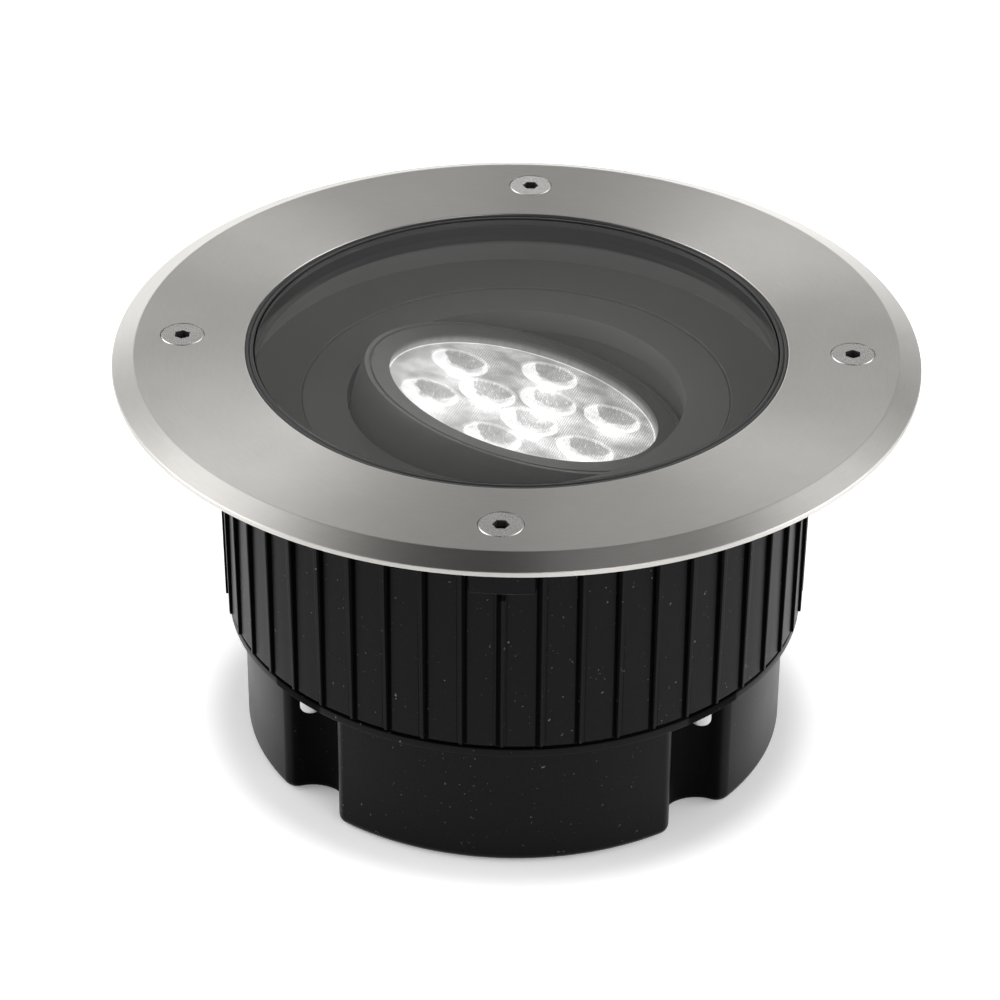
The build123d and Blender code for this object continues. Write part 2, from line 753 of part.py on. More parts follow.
# ================================================================ lamp: heat sink and its screws
with BuildPart(lamp_plane) as heat_sink:
    with BuildSketch(lamp_plane.offset(-sink_flange_low)):
        Circle(skirt_radius - sink_flange_inset)
    extrude(amount=sink_flange_thickness)
    with BuildSketch(lamp_plane.offset(-shell_skirt)):
        Circle(spigot_radius)
    extrude(amount=shell_skirt - board_low)
    with BuildSketch(lamp_plane.offset(-fin_tip)):
        with GridLocations(fin_pitch, 1, fin_count, 1):
            Rectangle(fin_thickness, 2 * fin_radius)
        Circle(fin_radius, mode=Mode.INTERSECT)
    extrude(amount=fin_height)
    with BuildSketch(lamp_plane.offset(-sink_flange_low)):
        with PolarLocations(sink_screw_circle, sink_screw_count, start_angle=sink_screw_angle):
            Circle(sink_screw_radius + thread_gap)
    extrude(amount=sink_flange_thickness, mode=Mode.SUBTRACT)
    with BuildSketch(lamp_plane.offset(-board_low)):
        with PolarLocations(board_screw_circle, board_screw_count, start_angle=inner_lens_angle):
            Circle(small_screw_radius + thread_gap)
    extrude(amount=-board_screw_thread_length - fit_gap, mode=Mode.SUBTRACT)
heat_sink.part.label = "heat_sink"
export_step(heat_sink.part, "parts/heat_sink.step")

sink_screw = head_screw(
    head_radius=sink_screw_head_radius,
    head_height=sink_screw_head_height,
    shank_radius=sink_screw_radius,
    shank_length=sink_flange_thickness + sink_screw_thread_length,
    hex_width=sink_screw_hex,
    socket_depth=sink_screw_socket,
).rotate(Axis.X, 180)
with BuildPart(lamp_plane) as sink_screws:
    with Locations((0, 0, -sink_flange_low)):
        with PolarLocations(sink_screw_circle, sink_screw_count, start_angle=sink_screw_angle):
            add(sink_screw)
sink_screws.part.label = "sink_screws"
export_step(sink_screws.part, "parts/sink_screws.step")

# ================================================================ base: lobed case with its flange
driver_screw_at = driver_length / 2 + driver_screw_offset
driver_ear_low = base_floor + driver_pillar_height
block_front = driver_width / 2 - driver_setback + block_gap
block_middle = block_front + block_width / 2
gland_face = lobe_top_radius + gland_boss_proud
inner_corner_round = max(notch_corner_round - base_wall, fit_gap)


def lobed_outline(radius, inset, corner_round):
    """Sketch of the four-lobed outline, moved inwards by inset."""
    with BuildSketch(mode=Mode.PRIVATE) as outline:
        Circle(radius - inset)
        with PolarLocations(flange_screw_circle, lobe_count, start_angle=45):
            Circle(notch_radius + inset, mode=Mode.SUBTRACT)
        fillet(outline.vertices(), corner_round)
    return outline.sketch


def facing_back(distance, height):
    """Upright plane that faces +Y, at a distance from the lamp's axis and a height above the base."""
    return Plane((0, distance, height), x_dir=(-1, 0, 0), z_dir=(0, 1, 0))


def gland_plane(distance):
    """Plane across the gland's axis, facing outwards, at a distance from the lamp's axis."""
    return facing_back(distance, gland_height)


with BuildPart() as base_housing:
    with BuildSketch():
        add(lobed_outline(lobe_bottom_radius, 0, notch_corner_round))
    with BuildSketch(Plane.XY.offset(base_flange_low)):
        add(lobed_outline(lobe_top_radius, 0, notch_corner_round))
    loft(ruled=True)
    fillet(base_housing.edges().group_by(Axis.Z)[0], base_foot_round)
    with BuildSketch(Plane.XY.offset(base_flange_low)):
        Circle(base_flange_radius)
        with PolarLocations(flange_screw_circle, lobe_count, start_angle=45):
            Circle(flange_screw_radius + fit_gap, mode=Mode.SUBTRACT)
    extrude(amount=base_flange_thickness)
    with BuildSketch(Plane.XY.offset(base_floor)):
        add(lobed_outline(lobe_bottom_radius, base_wall, inner_corner_round))
    extrude(amount=base_height - base_floor, mode=Mode.SUBTRACT)
    with BuildSketch(Plane.XY.offset(base_floor)):
        with Locations((driver_screw_at, -driver_setback), (-driver_screw_at, -driver_setback)):
            Circle(driver_pillar_radius)
    extrude(amount=driver_pillar_height)
    with BuildSketch(Plane.XY.offset(driver_ear_low)):
        with Locations((driver_screw_at, -driver_setback), (-driver_screw_at, -driver_setback)):
            Circle(small_screw_radius + thread_gap)
    extrude(amount=-driver_screw_depth - fit_gap, mode=Mode.SUBTRACT)
    with BuildSketch(Plane.XY.offset(base_floor)):
        with Locations((0, block_middle)):
            with GridLocations(pole_pitch, 1, pole_count - 1, 1):
                Circle(block_screw_radius + thread_gap)
    extrude(amount=-block_screw_depth - fit_gap, mode=Mode.SUBTRACT)
    with BuildSketch(gland_plane(gland_face)):
        Circle(gland_boss_radius)
    extrude(amount=-gland_boss_depth)
    with BuildSketch(gland_plane(gland_face)):
        Circle(gland_thread_radius + fit_gap)
    extrude(amount=-gland_boss_depth, mode=Mode.SUBTRACT)
base_housing.part.label = "base_housing"
export_step(base_housing.part, "parts/base_housing.step")

with BuildPart() as flange_gasket:
    with BuildSketch(Plane.XY.offset(base_height)):
        Circle(base_flange_radius - flange_gasket_inset)
        add(lobed_outline(lobe_bottom_radius, base_wall, inner_corner_round), mode=Mode.SUBTRACT)
        with PolarLocations(flange_screw_circle, lobe_count, start_angle=45):
            Circle(flange_screw_radius + fit_gap, mode=Mode.SUBTRACT)
    extrude(amount=flange_gasket_thickness)
flange_gasket.part.label = "flange_gasket"
export_step(flange_gasket.part, "parts/flange_gasket.step")

flange_screw = head_screw(
    head_radius=flange_screw_head_radius,
    head_height=flange_screw_head_height,
    head_round=flange_screw_head_round,
    shank_radius=flange_screw_radius,
    shank_length=base_flange_thickness + flange_gasket_thickness + flange_screw_thread_length,
    hex_width=flange_screw_hex,
    socket_depth=flange_screw_socket,
).rotate(Axis.X, 180)
with BuildPart() as flange_screws:
    with Locations(Plane.XY.offset(base_flange_low)):
        with PolarLocations(flange_screw_circle, lobe_count, start_angle=45):
            add(flange_screw)
flange_screws.part.label = "flange_screws"
export_step(flange_screws.part, "parts/flange_screws.step")

# ================================================================ supply: driver and its lead to the lamp
driver_top = base_floor + driver_height
grommet_low = housing_bottom - grommet_flange_thickness
grommet_top = housing_floor_top + grommet_flange_thickness

with BuildPart() as driver:
    with BuildSketch(Plane.XY.offset(base_floor)):
        with Locations((0, -driver_setback)):
            Rectangle(driver_length, driver_width)
    extrude(amount=driver_height)
    fillet(driver.edges().filter_by(Axis.Z), driver_round)
    chamfer(driver.edges().group_by(Axis.Z)[-1], driver_chamfer)
    with BuildSketch(Plane.XY.offset(driver_ear_low)):
        with Locations((0, -driver_setback)):
            Rectangle(driver_length + 2 * driver_ear_length, driver_ear_width)
    extrude(amount=driver_ear_thickness)
    with BuildSketch(Plane.XY.offset(driver_ear_low)):
        with Locations((driver_screw_at, -driver_setback), (-driver_screw_at, -driver_setback)):
            Circle(small_screw_radius + fit_gap)
    extrude(amount=driver_ear_thickness, mode=Mode.SUBTRACT)
driver.part.label = "driver"
export_step(driver.part, "parts/driver.step")

driver_screw = head_screw(
    head_radius=small_head_radius,
    head_height=small_head_height,
    shank_radius=small_screw_radius,
    shank_length=driver_ear_thickness + driver_screw_depth,
    hex_width=small_hex,
    socket_depth=small_socket,
)
with BuildPart() as driver_screws:
    with Locations(Plane.XY.offset(driver_ear_low + driver_ear_thickness)):
        with Locations((driver_screw_at, -driver_setback), (-driver_screw_at, -driver_setback)):
            add(driver_screw)
driver_screws.part.label = "driver_screws"
export_step(driver_screws.part, "parts/driver_screws.step")

with BuildPart() as floor_grommet:
    with BuildSketch(Plane.XY.offset(grommet_low)):
        Circle(grommet_flange_radius)
    extrude(amount=grommet_flange_thickness)
    with BuildSketch(Plane.XY.offset(housing_bottom)):
        Circle(grommet_neck_radius)
    extrude(amount=housing_floor_thickness)
    with BuildSketch(Plane.XY.offset(housing_floor_top)):
        Circle(grommet_flange_radius)
    extrude(amount=grommet_flange_thickness)
    with BuildSketch(Plane.XY.offset(grommet_low)):
        Circle(lead_radius + fit_gap)
    extrude(amount=grommet_top - grommet_low, mode=Mode.SUBTRACT)
floor_grommet.part.label = "floor_grommet"
export_step(floor_grommet.part, "parts/floor_grommet.step")

with BuildPart() as driver_lead:
    with BuildSketch(Plane.XY.offset(driver_top)):
        Circle(lead_radius)
    extrude(amount=grommet_top - driver_top)
driver_lead.part.label = "driver_lead"
export_step(driver_lead.part, "parts/driver_lead.step")

with BuildPart() as lead_connector:
    with BuildSketch(Plane.XY.offset(grommet_top)):
        Rectangle(connector_length, connector_width)
    extrude(amount=connector_height)
    chamfer(lead_connector.edges().filter_by(Axis.Z), connector_chamfer)
    with BuildSketch(Plane.XY.offset(grommet_top + connector_height)):
        with GridLocations(connector_pole_pitch, 1, 2, 1):
            Rectangle(connector_pole_side, connector_pole_side)
    extrude(amount=-connector_pole_depth, mode=Mode.SUBTRACT)
lead_connector.part.label = "lead_connector"
export_step(lead_connector.part, "parts/lead_connector.step")

# ================================================================ supply: mains terminals
block_top = base_floor + block_height
pole_axis_height = base_floor + pole_height
clamp_screw_top = block_top - clamp_screw_sink_depth
clamp_screw_tip = pole_axis_height + mains_lead_radius + thread_gap
block_head_low = base_floor + block_screw_seat

with BuildPart() as terminal_block:
    with BuildSketch(Plane.XY.offset(base_floor)):
        with Locations((0, block_middle)):
            Rectangle(block_length, block_width)
    extrude(amount=block_height)
    with BuildSketch(facing_back(block_front, pole_axis_height)):
        with GridLocations(pole_pitch, 1, pole_count, 1):
            Circle(pole_bore_radius)
    extrude(amount=block_width, mode=Mode.SUBTRACT)
    with BuildSketch(Plane.XY.offset(pole_axis_height)):
        with Locations((0, block_middle)):
            with GridLocations(pole_pitch, clamp_screw_pitch, pole_count, 2):
                Circle(clamp_screw_radius + thread_gap)
    extrude(amount=block_top - pole_axis_height, mode=Mode.SUBTRACT)
    with BuildSketch(Plane.XY.offset(base_floor)):
        with Locations((0, block_middle)):
            with GridLocations(pole_pitch, 1, pole_count - 1, 1):
                Circle(block_screw_radius + fit_gap)
    extrude(amount=block_screw_seat, mode=Mode.SUBTRACT)
    with BuildSketch(Plane.XY.offset(block_head_low)):
        with Locations((0, block_middle)):
            with GridLocations(pole_pitch, 1, pole_count - 1, 1):
                Circle(block_screw_head_radius + fit_gap)
    extrude(amount=block_top - block_head_low, mode=Mode.SUBTRACT)
terminal_block.part.label = "terminal_block"
export_step(terminal_block.part, "parts/terminal_block.step")

with BuildPart() as terminal_screws:
    with BuildSketch(Plane.XY.offset(clamp_screw_tip)):
        with Locations((0, block_middle)):
            with GridLocations(pole_pitch, clamp_screw_pitch, pole_count, 2):
                Circle(clamp_screw_radius)
    extrude(amount=clamp_screw_top - clamp_screw_tip)
    with BuildSketch(Plane.XY.offset(clamp_screw_top)):
        with Locations((0, block_middle)):
            with GridLocations(pole_pitch, clamp_screw_pitch, pole_count, 2):
                Rectangle(clamp_slot_width, 2 * clamp_screw_radius)
    extrude(amount=-clamp_slot_depth, mode=Mode.SUBTRACT)
terminal_screws.part.label = "terminal_screws"
export_step(terminal_screws.part, "parts/terminal_screws.step")

block_screw = head_screw(
    head_radius=block_screw_head_radius,
    head_height=block_screw_head_height,
    shank_radius=block_screw_radius,
    shank_length=block_screw_seat + block_screw_depth,
    hex_width=block_screw_hex,
    socket_depth=block_screw_socket,
)
with BuildPart() as block_screws:
    with Locations(Plane.XY.offset(block_head_low)):
        with Locations((0, block_middle)):
            with GridLocations(pole_pitch, 1, pole_count - 1, 1):
                add(block_screw)
block_screws.part.label = "block_screws"
export_step(block_screws.part, "parts/block_screws.step")

with BuildPart() as mains_leads:
    with BuildSketch(facing_back(block_front - block_gap, pole_axis_height)):
        with GridLocations(pole_pitch, 1, pole_count, 1):
            Circle(mains_lead_radius)
    extrude(amount=block_gap + mains_lead_entry_length)
mains_leads.part.label = "mains_leads"
export_step(mains_leads.part, "parts/mains_leads.step")

# ================================================================ cable gland on the +Y side of the base
gland_hex_low = gland_face + gland_washer_thickness
gland_hex_top = gland_hex_low + gland_hex_thickness
gland_neck_top = gland_hex_top + gland_neck_length
lock_nut_face = gland_face - gland_boss_depth
gland_tail_end = lock_nut_face - lock_nut_thickness - gland_tail
cap_low = gland_hex_top + cap_start_gap
cap_floor = cap_low + cap_length - cap_end_wall
seal_low = cap_floor - seal_length

with BuildPart() as gland_washer:
    with BuildSketch(gland_plane(gland_face)):
        Circle(gland_thread_radius + gland_washer_width)
        Circle(gland_thread_radius + fit_gap, mode=Mode.SUBTRACT)
    extrude(amount=gland_washer_thickness)
gland_washer.part.label = "gland_washer"
export_step(gland_washer.part, "parts/gland_washer.step")

with BuildPart() as gland_body:
    with BuildSketch(gland_plane(gland_tail_end)):
        Circle(gland_thread_radius)
    extrude(amount=gland_hex_low - gland_tail_end)
    with BuildSketch(gland_plane(gland_hex_low)):
        RegularPolygon(gland_hex * hex_corner, 6)
    extrude(amount=gland_hex_thickness)
    with BuildSketch(gland_plane(gland_hex_top)):
        Circle(gland_neck_radius)
    extrude(amount=gland_neck_length)
    with BuildSketch(gland_plane(gland_tail_end)):
        Circle(gland_bore_radius)
    extrude(amount=seal_low - gland_tail_end, mode=Mode.SUBTRACT)
    with BuildSketch(gland_plane(seal_low)):
        Circle(seal_radius + fit_gap)
    extrude(amount=gland_neck_top - seal_low, mode=Mode.SUBTRACT)
gland_body.part.label = "gland_body"
export_step(gland_body.part, "parts/gland_body.step")

with BuildPart() as gland_seal:
    with BuildSketch(gland_plane(seal_low)):
        Circle(seal_radius)
        Circle(seal_bore_radius, mode=Mode.SUBTRACT)
    extrude(amount=seal_length)
gland_seal.part.label = "gland_seal"
export_step(gland_seal.part, "parts/gland_seal.step")

with BuildPart() as gland_cap:
    with BuildSketch(gland_plane(cap_low)):
        RegularPolygon(gland_hex * hex_corner, 6)
    extrude(amount=cap_hex_length)
    with BuildSketch(gland_plane(cap_low)):
        Circle(cap_nose_radius)
    extrude(amount=cap_length)
    fillet(gland_cap.edges().group_by(Axis.Y)[-1], cap_round)
    with BuildSketch(gland_plane(cap_low)):
        Circle(gland_neck_radius + thread_gap)
    extrude(amount=cap_floor - cap_low, mode=Mode.SUBTRACT)
    with BuildSketch(gland_plane(cap_floor)):
        Circle(cap_mouth_radius)
    extrude(amount=cap_end_wall, mode=Mode.SUBTRACT)
gland_cap.part.label = "gland_cap"
export_step(gland_cap.part, "parts/gland_cap.step")

with BuildPart() as gland_lock_nut:
    with BuildSketch(gland_plane(lock_nut_face)):
        RegularPolygon(gland_hex * hex_corner, 6)
        Circle(gland_thread_radius + thread_gap, mode=Mode.SUBTRACT)
    extrude(amount=-lock_nut_thickness)
gland_lock_nut.part.label = "gland_lock_nut"
export_step(gland_lock_nut.part, "parts/gland_lock_nut.step")
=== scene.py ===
import json
import math

import bmesh
import bpy
from mathutils import Matrix, Vector


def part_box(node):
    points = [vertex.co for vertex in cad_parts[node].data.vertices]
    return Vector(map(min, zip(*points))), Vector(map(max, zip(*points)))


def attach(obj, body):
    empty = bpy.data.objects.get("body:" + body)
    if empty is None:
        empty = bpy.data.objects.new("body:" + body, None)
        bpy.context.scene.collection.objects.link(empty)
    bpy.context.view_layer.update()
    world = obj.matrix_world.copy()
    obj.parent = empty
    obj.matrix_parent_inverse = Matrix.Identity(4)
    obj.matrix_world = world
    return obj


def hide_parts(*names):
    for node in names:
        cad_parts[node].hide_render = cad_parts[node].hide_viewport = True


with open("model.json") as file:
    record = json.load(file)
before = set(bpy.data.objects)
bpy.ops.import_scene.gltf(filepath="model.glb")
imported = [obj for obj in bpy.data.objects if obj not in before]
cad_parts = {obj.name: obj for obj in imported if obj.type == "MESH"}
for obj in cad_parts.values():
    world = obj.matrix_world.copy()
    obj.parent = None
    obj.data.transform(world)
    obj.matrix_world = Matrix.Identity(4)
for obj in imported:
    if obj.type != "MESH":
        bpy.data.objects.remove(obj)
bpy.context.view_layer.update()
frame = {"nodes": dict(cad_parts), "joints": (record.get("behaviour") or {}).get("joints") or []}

# In ground well light. Metres, +Z up, origin at the centre of the base's underside. The cable gland
# is on +Y, and one trim screw is on -Y, towards the camera.

MM = 0.001
FULL_TURN = 2 * math.pi
FRONT = -math.pi / 2
ROUND_STEPS = 256               # faces round a large turned piece
SMALL_STEPS = 64                # faces round a screw or a gland
SHARP = math.radians(30)        # edges sharper than this are drawn as edges
CORNER = math.radians(12)       # corners of a ring's outline sharper than this are rounded
MERGED = 1e-7                   # vertices of a turned form closer than this are one
TOUCHING = 1e-6                 # the same for a CAD mesh or the lobed outline

# ---------------------------------------------------------------- places taken from the CAD frame
tilt_joint = next(joint for joint in frame["joints"] if joint["name"] == "lamp_tilt")
tilt_direction = Vector(tilt_joint["axis"])
lamp_azimuth = math.atan2(-tilt_direction.x, tilt_direction.y)
lamp_lean = math.radians(-tilt_joint["range_deg"][0] / 2)
lamp_place = (
    Matrix.Translation(tilt_joint["pos_m"])
    @ Matrix.Rotation(lamp_azimuth, 4, "Z")
    @ Matrix.Rotation(lamp_lean, 4, "Y")
)


def low(node):
    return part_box(node)[0]


def high(node):
    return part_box(node)[1]


fit_gap = 0.1 * MM
running_gap = 0.3 * MM
trim_low = low("trim_ring")[2]
trim_top = high("trim_ring")[2]
trim_radius = high("trim_ring")[0]
trim_bevel_width = 6.0 * MM
trim_bevel_drop = 2.5 * MM
screw_head_radius = 6.0 * MM
screw_circle = high("trim_screws")[0] - screw_head_radius
glass_low = low("glass")[2]
glass_top = high("glass")[2]
glass_flange_radius = high("glass")[0]
glass_radius = glass_flange_radius - 6.0 * MM
glass_edge_chamfer = 0.4 * MM
glass_foot_chamfer = 0.3 * MM
glass_shoulder = glass_low + 4.0 * MM
gasket_low = low("glass_gasket")[2]
gasket_top = high("glass_gasket")[2]
gasket_radius = high("glass_gasket")[0]
trim_opening = glass_radius + 2.4 * MM
bezel_outer = high("glide_ring")[0]
bezel_inner = bezel_outer - 1.2 * MM
bezel_corner = bezel_inner - 1.0 * MM
bezel_lip_low = gasket_low - 1.2 * MM
bezel_floor_low = low("bezel")[2]
bezel_floor_top = bezel_floor_low + 1.6 * MM
bezel_wall_corner = bezel_floor_top + 4.7 * MM
turntable_flange_radius = high("turntable")[0]
turntable_radius = turntable_flange_radius - 7.5 * MM
turntable_hole = turntable_radius - 12.2 * MM
bezel_hole = turntable_radius + running_gap
sleeve_low = low("housing")[2]
housing_top = high("housing")[2]
housing_radius = high("housing")[0]
flange_low = housing_top - 6.0 * MM
base_top = high("base_housing")[2]
base_flange_radius = high("base_housing")[0]
base_flange_low = base_top - 2.4 * MM
lens_radius = 8.4 * MM
outer_lenses = (26.4 * MM, 6, math.radians(44.7))       # circle, count and first angle
inner_lenses = (10.2 * MM, 3, math.radians(14.7))
ball_radius = turntable_hole - running_gap
rim_height = 9.3 * MM
rim_radius = math.sqrt(ball_radius ** 2 - rim_height ** 2)
rim_opening = 38.0 * MM
skirt_depth = 12.8 * MM
skirt_radius = math.sqrt(ball_radius ** 2 - skirt_depth ** 2)
shell_bore = skirt_radius - 4.18 * MM
groove_outer = rim_radius - 1.3 * MM
groove_inner = groove_outer - 0.6 * MM
groove_floor = rim_height - 0.5 * MM
lens_top = rim_height - 3.0 * MM
lens_low = lens_top - 3.0 * MM
plate_radius = shell_bore - 0.6 * MM
plate_seat = plate_radius + fit_gap
dish_depth = 1.5 * MM
rib_count = 48
rib_pitch = FULL_TURN / rib_count
rib_width_low = 1.3 * MM
rib_width_high = 2.5 * MM
rib_height_low = 0.7 * MM
rib_height_high = 1.4 * MM
steps_per_rib = 4
sleeve_bottom_radius = bezel_outer + 3.2 * MM
sleeve_top_radius = sleeve_bottom_radius + 0.6 * MM
pad_pitch = FULL_TURN / 6
pad_reach = rib_pitch * 0.6       # from a pad's middle to the last faces that it takes
pad_low = flange_low - 17.3 * MM
pad_rib_gap = 1.2 * MM
pad_rib_top = pad_low - pad_rib_gap
pad_half_width = 8.6 * MM
pad_radius = sleeve_top_radius + 1.6 * MM
seat_radius = gasket_radius + fit_gap
bore_radius = bezel_outer + fit_gap
shelf_inner = turntable_flange_radius + running_gap - 5.0 * MM
shelf_top = low("glide_ring")[2]
shelf_low = shelf_top - 3.0 * MM
floor_top = sleeve_low + 3.5 * MM
grommet_hole = 7.1 * MM
lobe_top_radius = base_flange_radius - 4.3 * MM
lobe_foot_radius = lobe_top_radius - 0.3 * MM
notch_radius = 9.0 * MM
notch_round = 4.0 * MM
screw_ring = base_flange_radius - 4.7 * MM
seal_inner = base_flange_radius - 8.0 * MM
seal_outer = high("flange_gasket")[0]
gland_height = (low("gland_washer")[2] + high("gland_washer")[2]) / 2


# ================================================================ mesh helpers
def sharper(bm, angle):
    return [edge for edge in bm.edges if edge.is_manifold and edge.calc_face_angle() > angle]


def verts_in(geometry):
    return [part for part in geometry if isinstance(part, bmesh.types.BMVert)]


def from_axis(point):
    """Distance of a point from Z."""
    return math.hypot(point.x, point.y)


def linked(name, data):
    """A new object in the scene."""
    made = bpy.data.objects.new(name, data)
    bpy.context.scene.collection.objects.link(made)
    return made


def soften(bm, width, segments=2, edges=None):
    """Rounds the sharp edges of a bmesh, or the ones given."""
    if edges is None:
        edges = sharper(bm, SHARP)
    bmesh.ops.bevel(
        bm, geom=edges, offset=width, offset_type="OFFSET", affect="EDGES",
        segments=segments, profile=0.5, material=-1, clamp_overlap=True,
    )


def straight(bm, start, points):
    """Draws straight lines on from a vertex through (radius, height) points and gives the last vertex."""
    for radius, height in points:
        following = bm.verts.new((radius, 0, height))
        bm.edges.new((start, following))
        start = following
    return start


def curved(bm, start, centre, angle, steps, axis=(0, 0, 1)):
    """Draws an arc from a vertex round a centre and gives its last vertex."""
    arc = bmesh.ops.spin(bm, geom=[start], axis=axis, cent=centre, angle=angle, steps=steps)
    return verts_in(arc["geom_last"])[0]


def spun(bm, steps=ROUND_STEPS):
    """Turns a drawn outline about Z."""
    bmesh.ops.spin(
        bm, geom=list(bm.verts) + list(bm.edges), axis=(0, 0, 1), cent=(0, 0, 0),
        angle=FULL_TURN, steps=steps, use_merge=True,
    )
    bmesh.ops.remove_doubles(bm, verts=bm.verts, dist=MERGED)
    bmesh.ops.dissolve_degenerate(bm, dist=MERGED, edges=bm.edges)
    bmesh.ops.recalc_face_normals(bm, faces=bm.faces)
    return bm


def turned(outline, steps=ROUND_STEPS, closed=True):
    """Bmesh of revolution about Z from (radius, height) points. An open outline ends on the axis."""
    bm = bmesh.new()
    first_radius, first_height = outline[0]
    first = bm.verts.new((first_radius, 0, first_height))
    last = straight(bm, first, outline[1:])
    if closed:
        bm.edges.new((last, first))
    return spun(bm, steps)


def joined(parts):
    """One bmesh that holds copies of several."""
    whole = bmesh.new()
    for part in parts:
        mesh = bpy.data.meshes.new("part")
        part.to_mesh(mesh)
        part.free()
        whole.from_mesh(mesh)
        bpy.data.meshes.remove(mesh)
    return whole


def moved(bm, place):
    bmesh.ops.transform(bm, matrix=place, verts=bm.verts)
    return bm


def shifted(bm, x, y, z):
    return moved(bm, Matrix.Translation((x, y, z)))


def round_the_axis(make, count, radius, start):
    """Several copies of a part, each at its angle on a circle about Z."""
    copies = []
    for index in range(count):
        turn = Matrix.Rotation(start + index * FULL_TURN / count, 4, "Z")
        copies.append(moved(make(), turn @ Matrix.Translation((radius, 0, 0))))
    return joined(copies)


def cut_from(bm, cutter):
    """Takes one closed form out of another."""
    holders = []
    for name, form in (("body", bm), ("cutter", cutter)):
        mesh = bpy.data.meshes.new(name)
        form.to_mesh(mesh)
        form.free()
        holders.append(linked(name, mesh))
    block, tool = holders
    taken = block.modifiers.new("taken", "BOOLEAN")
    taken.operation = "DIFFERENCE"
    taken.solver = "EXACT"
    taken.object = tool
    seen = block.evaluated_get(bpy.context.evaluated_depsgraph_get())
    result = bmesh.new()
    result.from_mesh(seen.to_mesh())
    seen.to_mesh_clear()
    for holder in holders:
        mesh = holder.data
        bpy.data.objects.remove(holder)
        bpy.data.meshes.remove(mesh)
    return result


def soft_ring(outline, width, steps=ROUND_STEPS):
    """A turned ring with every corner of its outline rounded."""
    bm = turned(outline, steps)
    soften(bm, width, 3, sharper(bm, CORNER))
    return bm


def drawn(bm, edges, scale=1.0, rise=0.0):
    """Extrudes a closed run of edges, scaled about Z and moved along it, and gives the new run."""
    verts = verts_in(bmesh.ops.extrude_edge_only(bm, edges=edges)["geom"])
    bmesh.ops.scale(bm, vec=(scale, scale, 1), verts=verts)
    bmesh.ops.translate(bm, vec=(0, 0, rise), verts=verts)
    inside = set(verts)
    return [edge for edge in bm.edges if edge.verts[0] in inside and edge.verts[1] in inside]


def capped(bm, edges):
    bmesh.ops.edgeloop_fill(bm, edges=edges)


def socket_screw(steps, hex_width, socket_depth):
    """A screw from its head's face down, as (radius, height) steps, with a hexagon socket in the face."""
    bm = bmesh.new()
    hexagon = bmesh.ops.create_circle(bm, segments=6, radius=hex_width / math.sqrt(3))["verts"]
    socket_edges = list({edge for vert in hexagon for edge in vert.link_edges})
    bmesh.ops.subdivide_edges(bm, edges=socket_edges, cuts=7)
    socket_edges = list(bm.edges)
    rim = bmesh.ops.create_circle(bm, segments=48, radius=steps[0][0])["verts"]
    rim_edges = list({edge for vert in rim for edge in vert.link_edges})
    bmesh.ops.bridge_loops(bm, edges=socket_edges + rim_edges)
    edges = rim_edges
    for (radius, height), (next_radius, next_height) in zip(steps, steps[1:]):
        edges = drawn(bm, edges, next_radius / radius, next_height - height)
    capped(bm, edges)
    outside = set(bm.faces)
    mouth_depth = 0.15 * MM
    well = drawn(bm, socket_edges, 0.94, -mouth_depth)
    well = drawn(bm, well, 1.0, mouth_depth - socket_depth)
    capped(bm, well)
    for face in bm.faces:
        face.material_index = 0 if face in outside else 1
    bmesh.ops.recalc_face_normals(bm, faces=bm.faces)
    return bm


def eased(node, width):
    """A copy of a CAD node's mesh, merged, with its flat faces whole and its sharp edges rounded."""
    bm = bmesh.new()
    bm.from_mesh(frame["nodes"][node].data)
    bmesh.ops.remove_doubles(bm, verts=bm.verts, dist=TOUCHING)
    bmesh.ops.dissolve_limit(
        bm, angle_limit=math.radians(0.5), verts=bm.verts, edges=bm.edges, delimit={"NORMAL"},
    )
    soften(bm, width)
    return bm


def piece(name, bm, body, materials, nodes):
    """A finished piece that rides on a body and stands for CAD nodes."""
    mesh = bpy.data.meshes.new(name)
    bm.to_mesh(mesh)
    bm.free()
    mesh.shade_smooth()
    mesh.set_sharp_from_angle(angle=SHARP)
    made = linked(name, mesh)
    for material in materials:
        mesh.materials.append(material)
    weighted = made.modifiers.new("weighted", "WEIGHTED_NORMAL")
    weighted.keep_sharp = True
    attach(made, body)
    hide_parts(*nodes)
    return made


# ================================================================ material helpers
def written(operation, swapped=False):
    """A method of Wire for one operation, in which the wire comes last if swapped."""

    def method(self, *others):
        values = (*others, self) if swapped else (self, *others)
        return self.paint.maths(operation, *values)

    return method


class Wire:
    """An output socket that arithmetic can be written on."""

    def __init__(self, paint, socket):
        self.paint = paint
        self.socket = socket

    __add__ = written("ADD")
    __radd__ = written("ADD", swapped=True)
    __sub__ = written("SUBTRACT")
    __rsub__ = written("SUBTRACT", swapped=True)
    __mul__ = written("MULTIPLY")
    __rmul__ = written("MULTIPLY", swapped=True)
    __truediv__ = written("DIVIDE")
    least = written("MINIMUM")
    most = written("MAXIMUM")
    size = written("ABSOLUTE")
    fraction = written("FRACT")
    root = written("SQRT")

    def bell(self):
        """1 at zero, falling off as a bell curve does."""
        return self.paint.maths("EXPONENT", self * self * -1.0)

    def wave(self, period):
        """Swings between 0 and 1 with a period."""
        return self.paint.maths("SINE", self * (FULL_TURN / period)) * 0.5 + 0.5

    def step(self, start, end):
        """0 before start, 1 after end, with a smooth rise between."""
        ranged = self.paint.node(
            "ShaderNodeMapRange", {"interpolation_type": "SMOOTHSTEP"},
            {"Value": self, "From Min": start, "From Max": end, "To Min": 0.0, "To Max": 1.0},
        )
        return ranged["Result"]


class Made:
    """A node whose outputs are read by name."""

    def __init__(self, paint, node):
        self.paint = paint
        self.node = node

    def __getitem__(self, name):
        return Wire(self.paint, self.node.outputs[name])


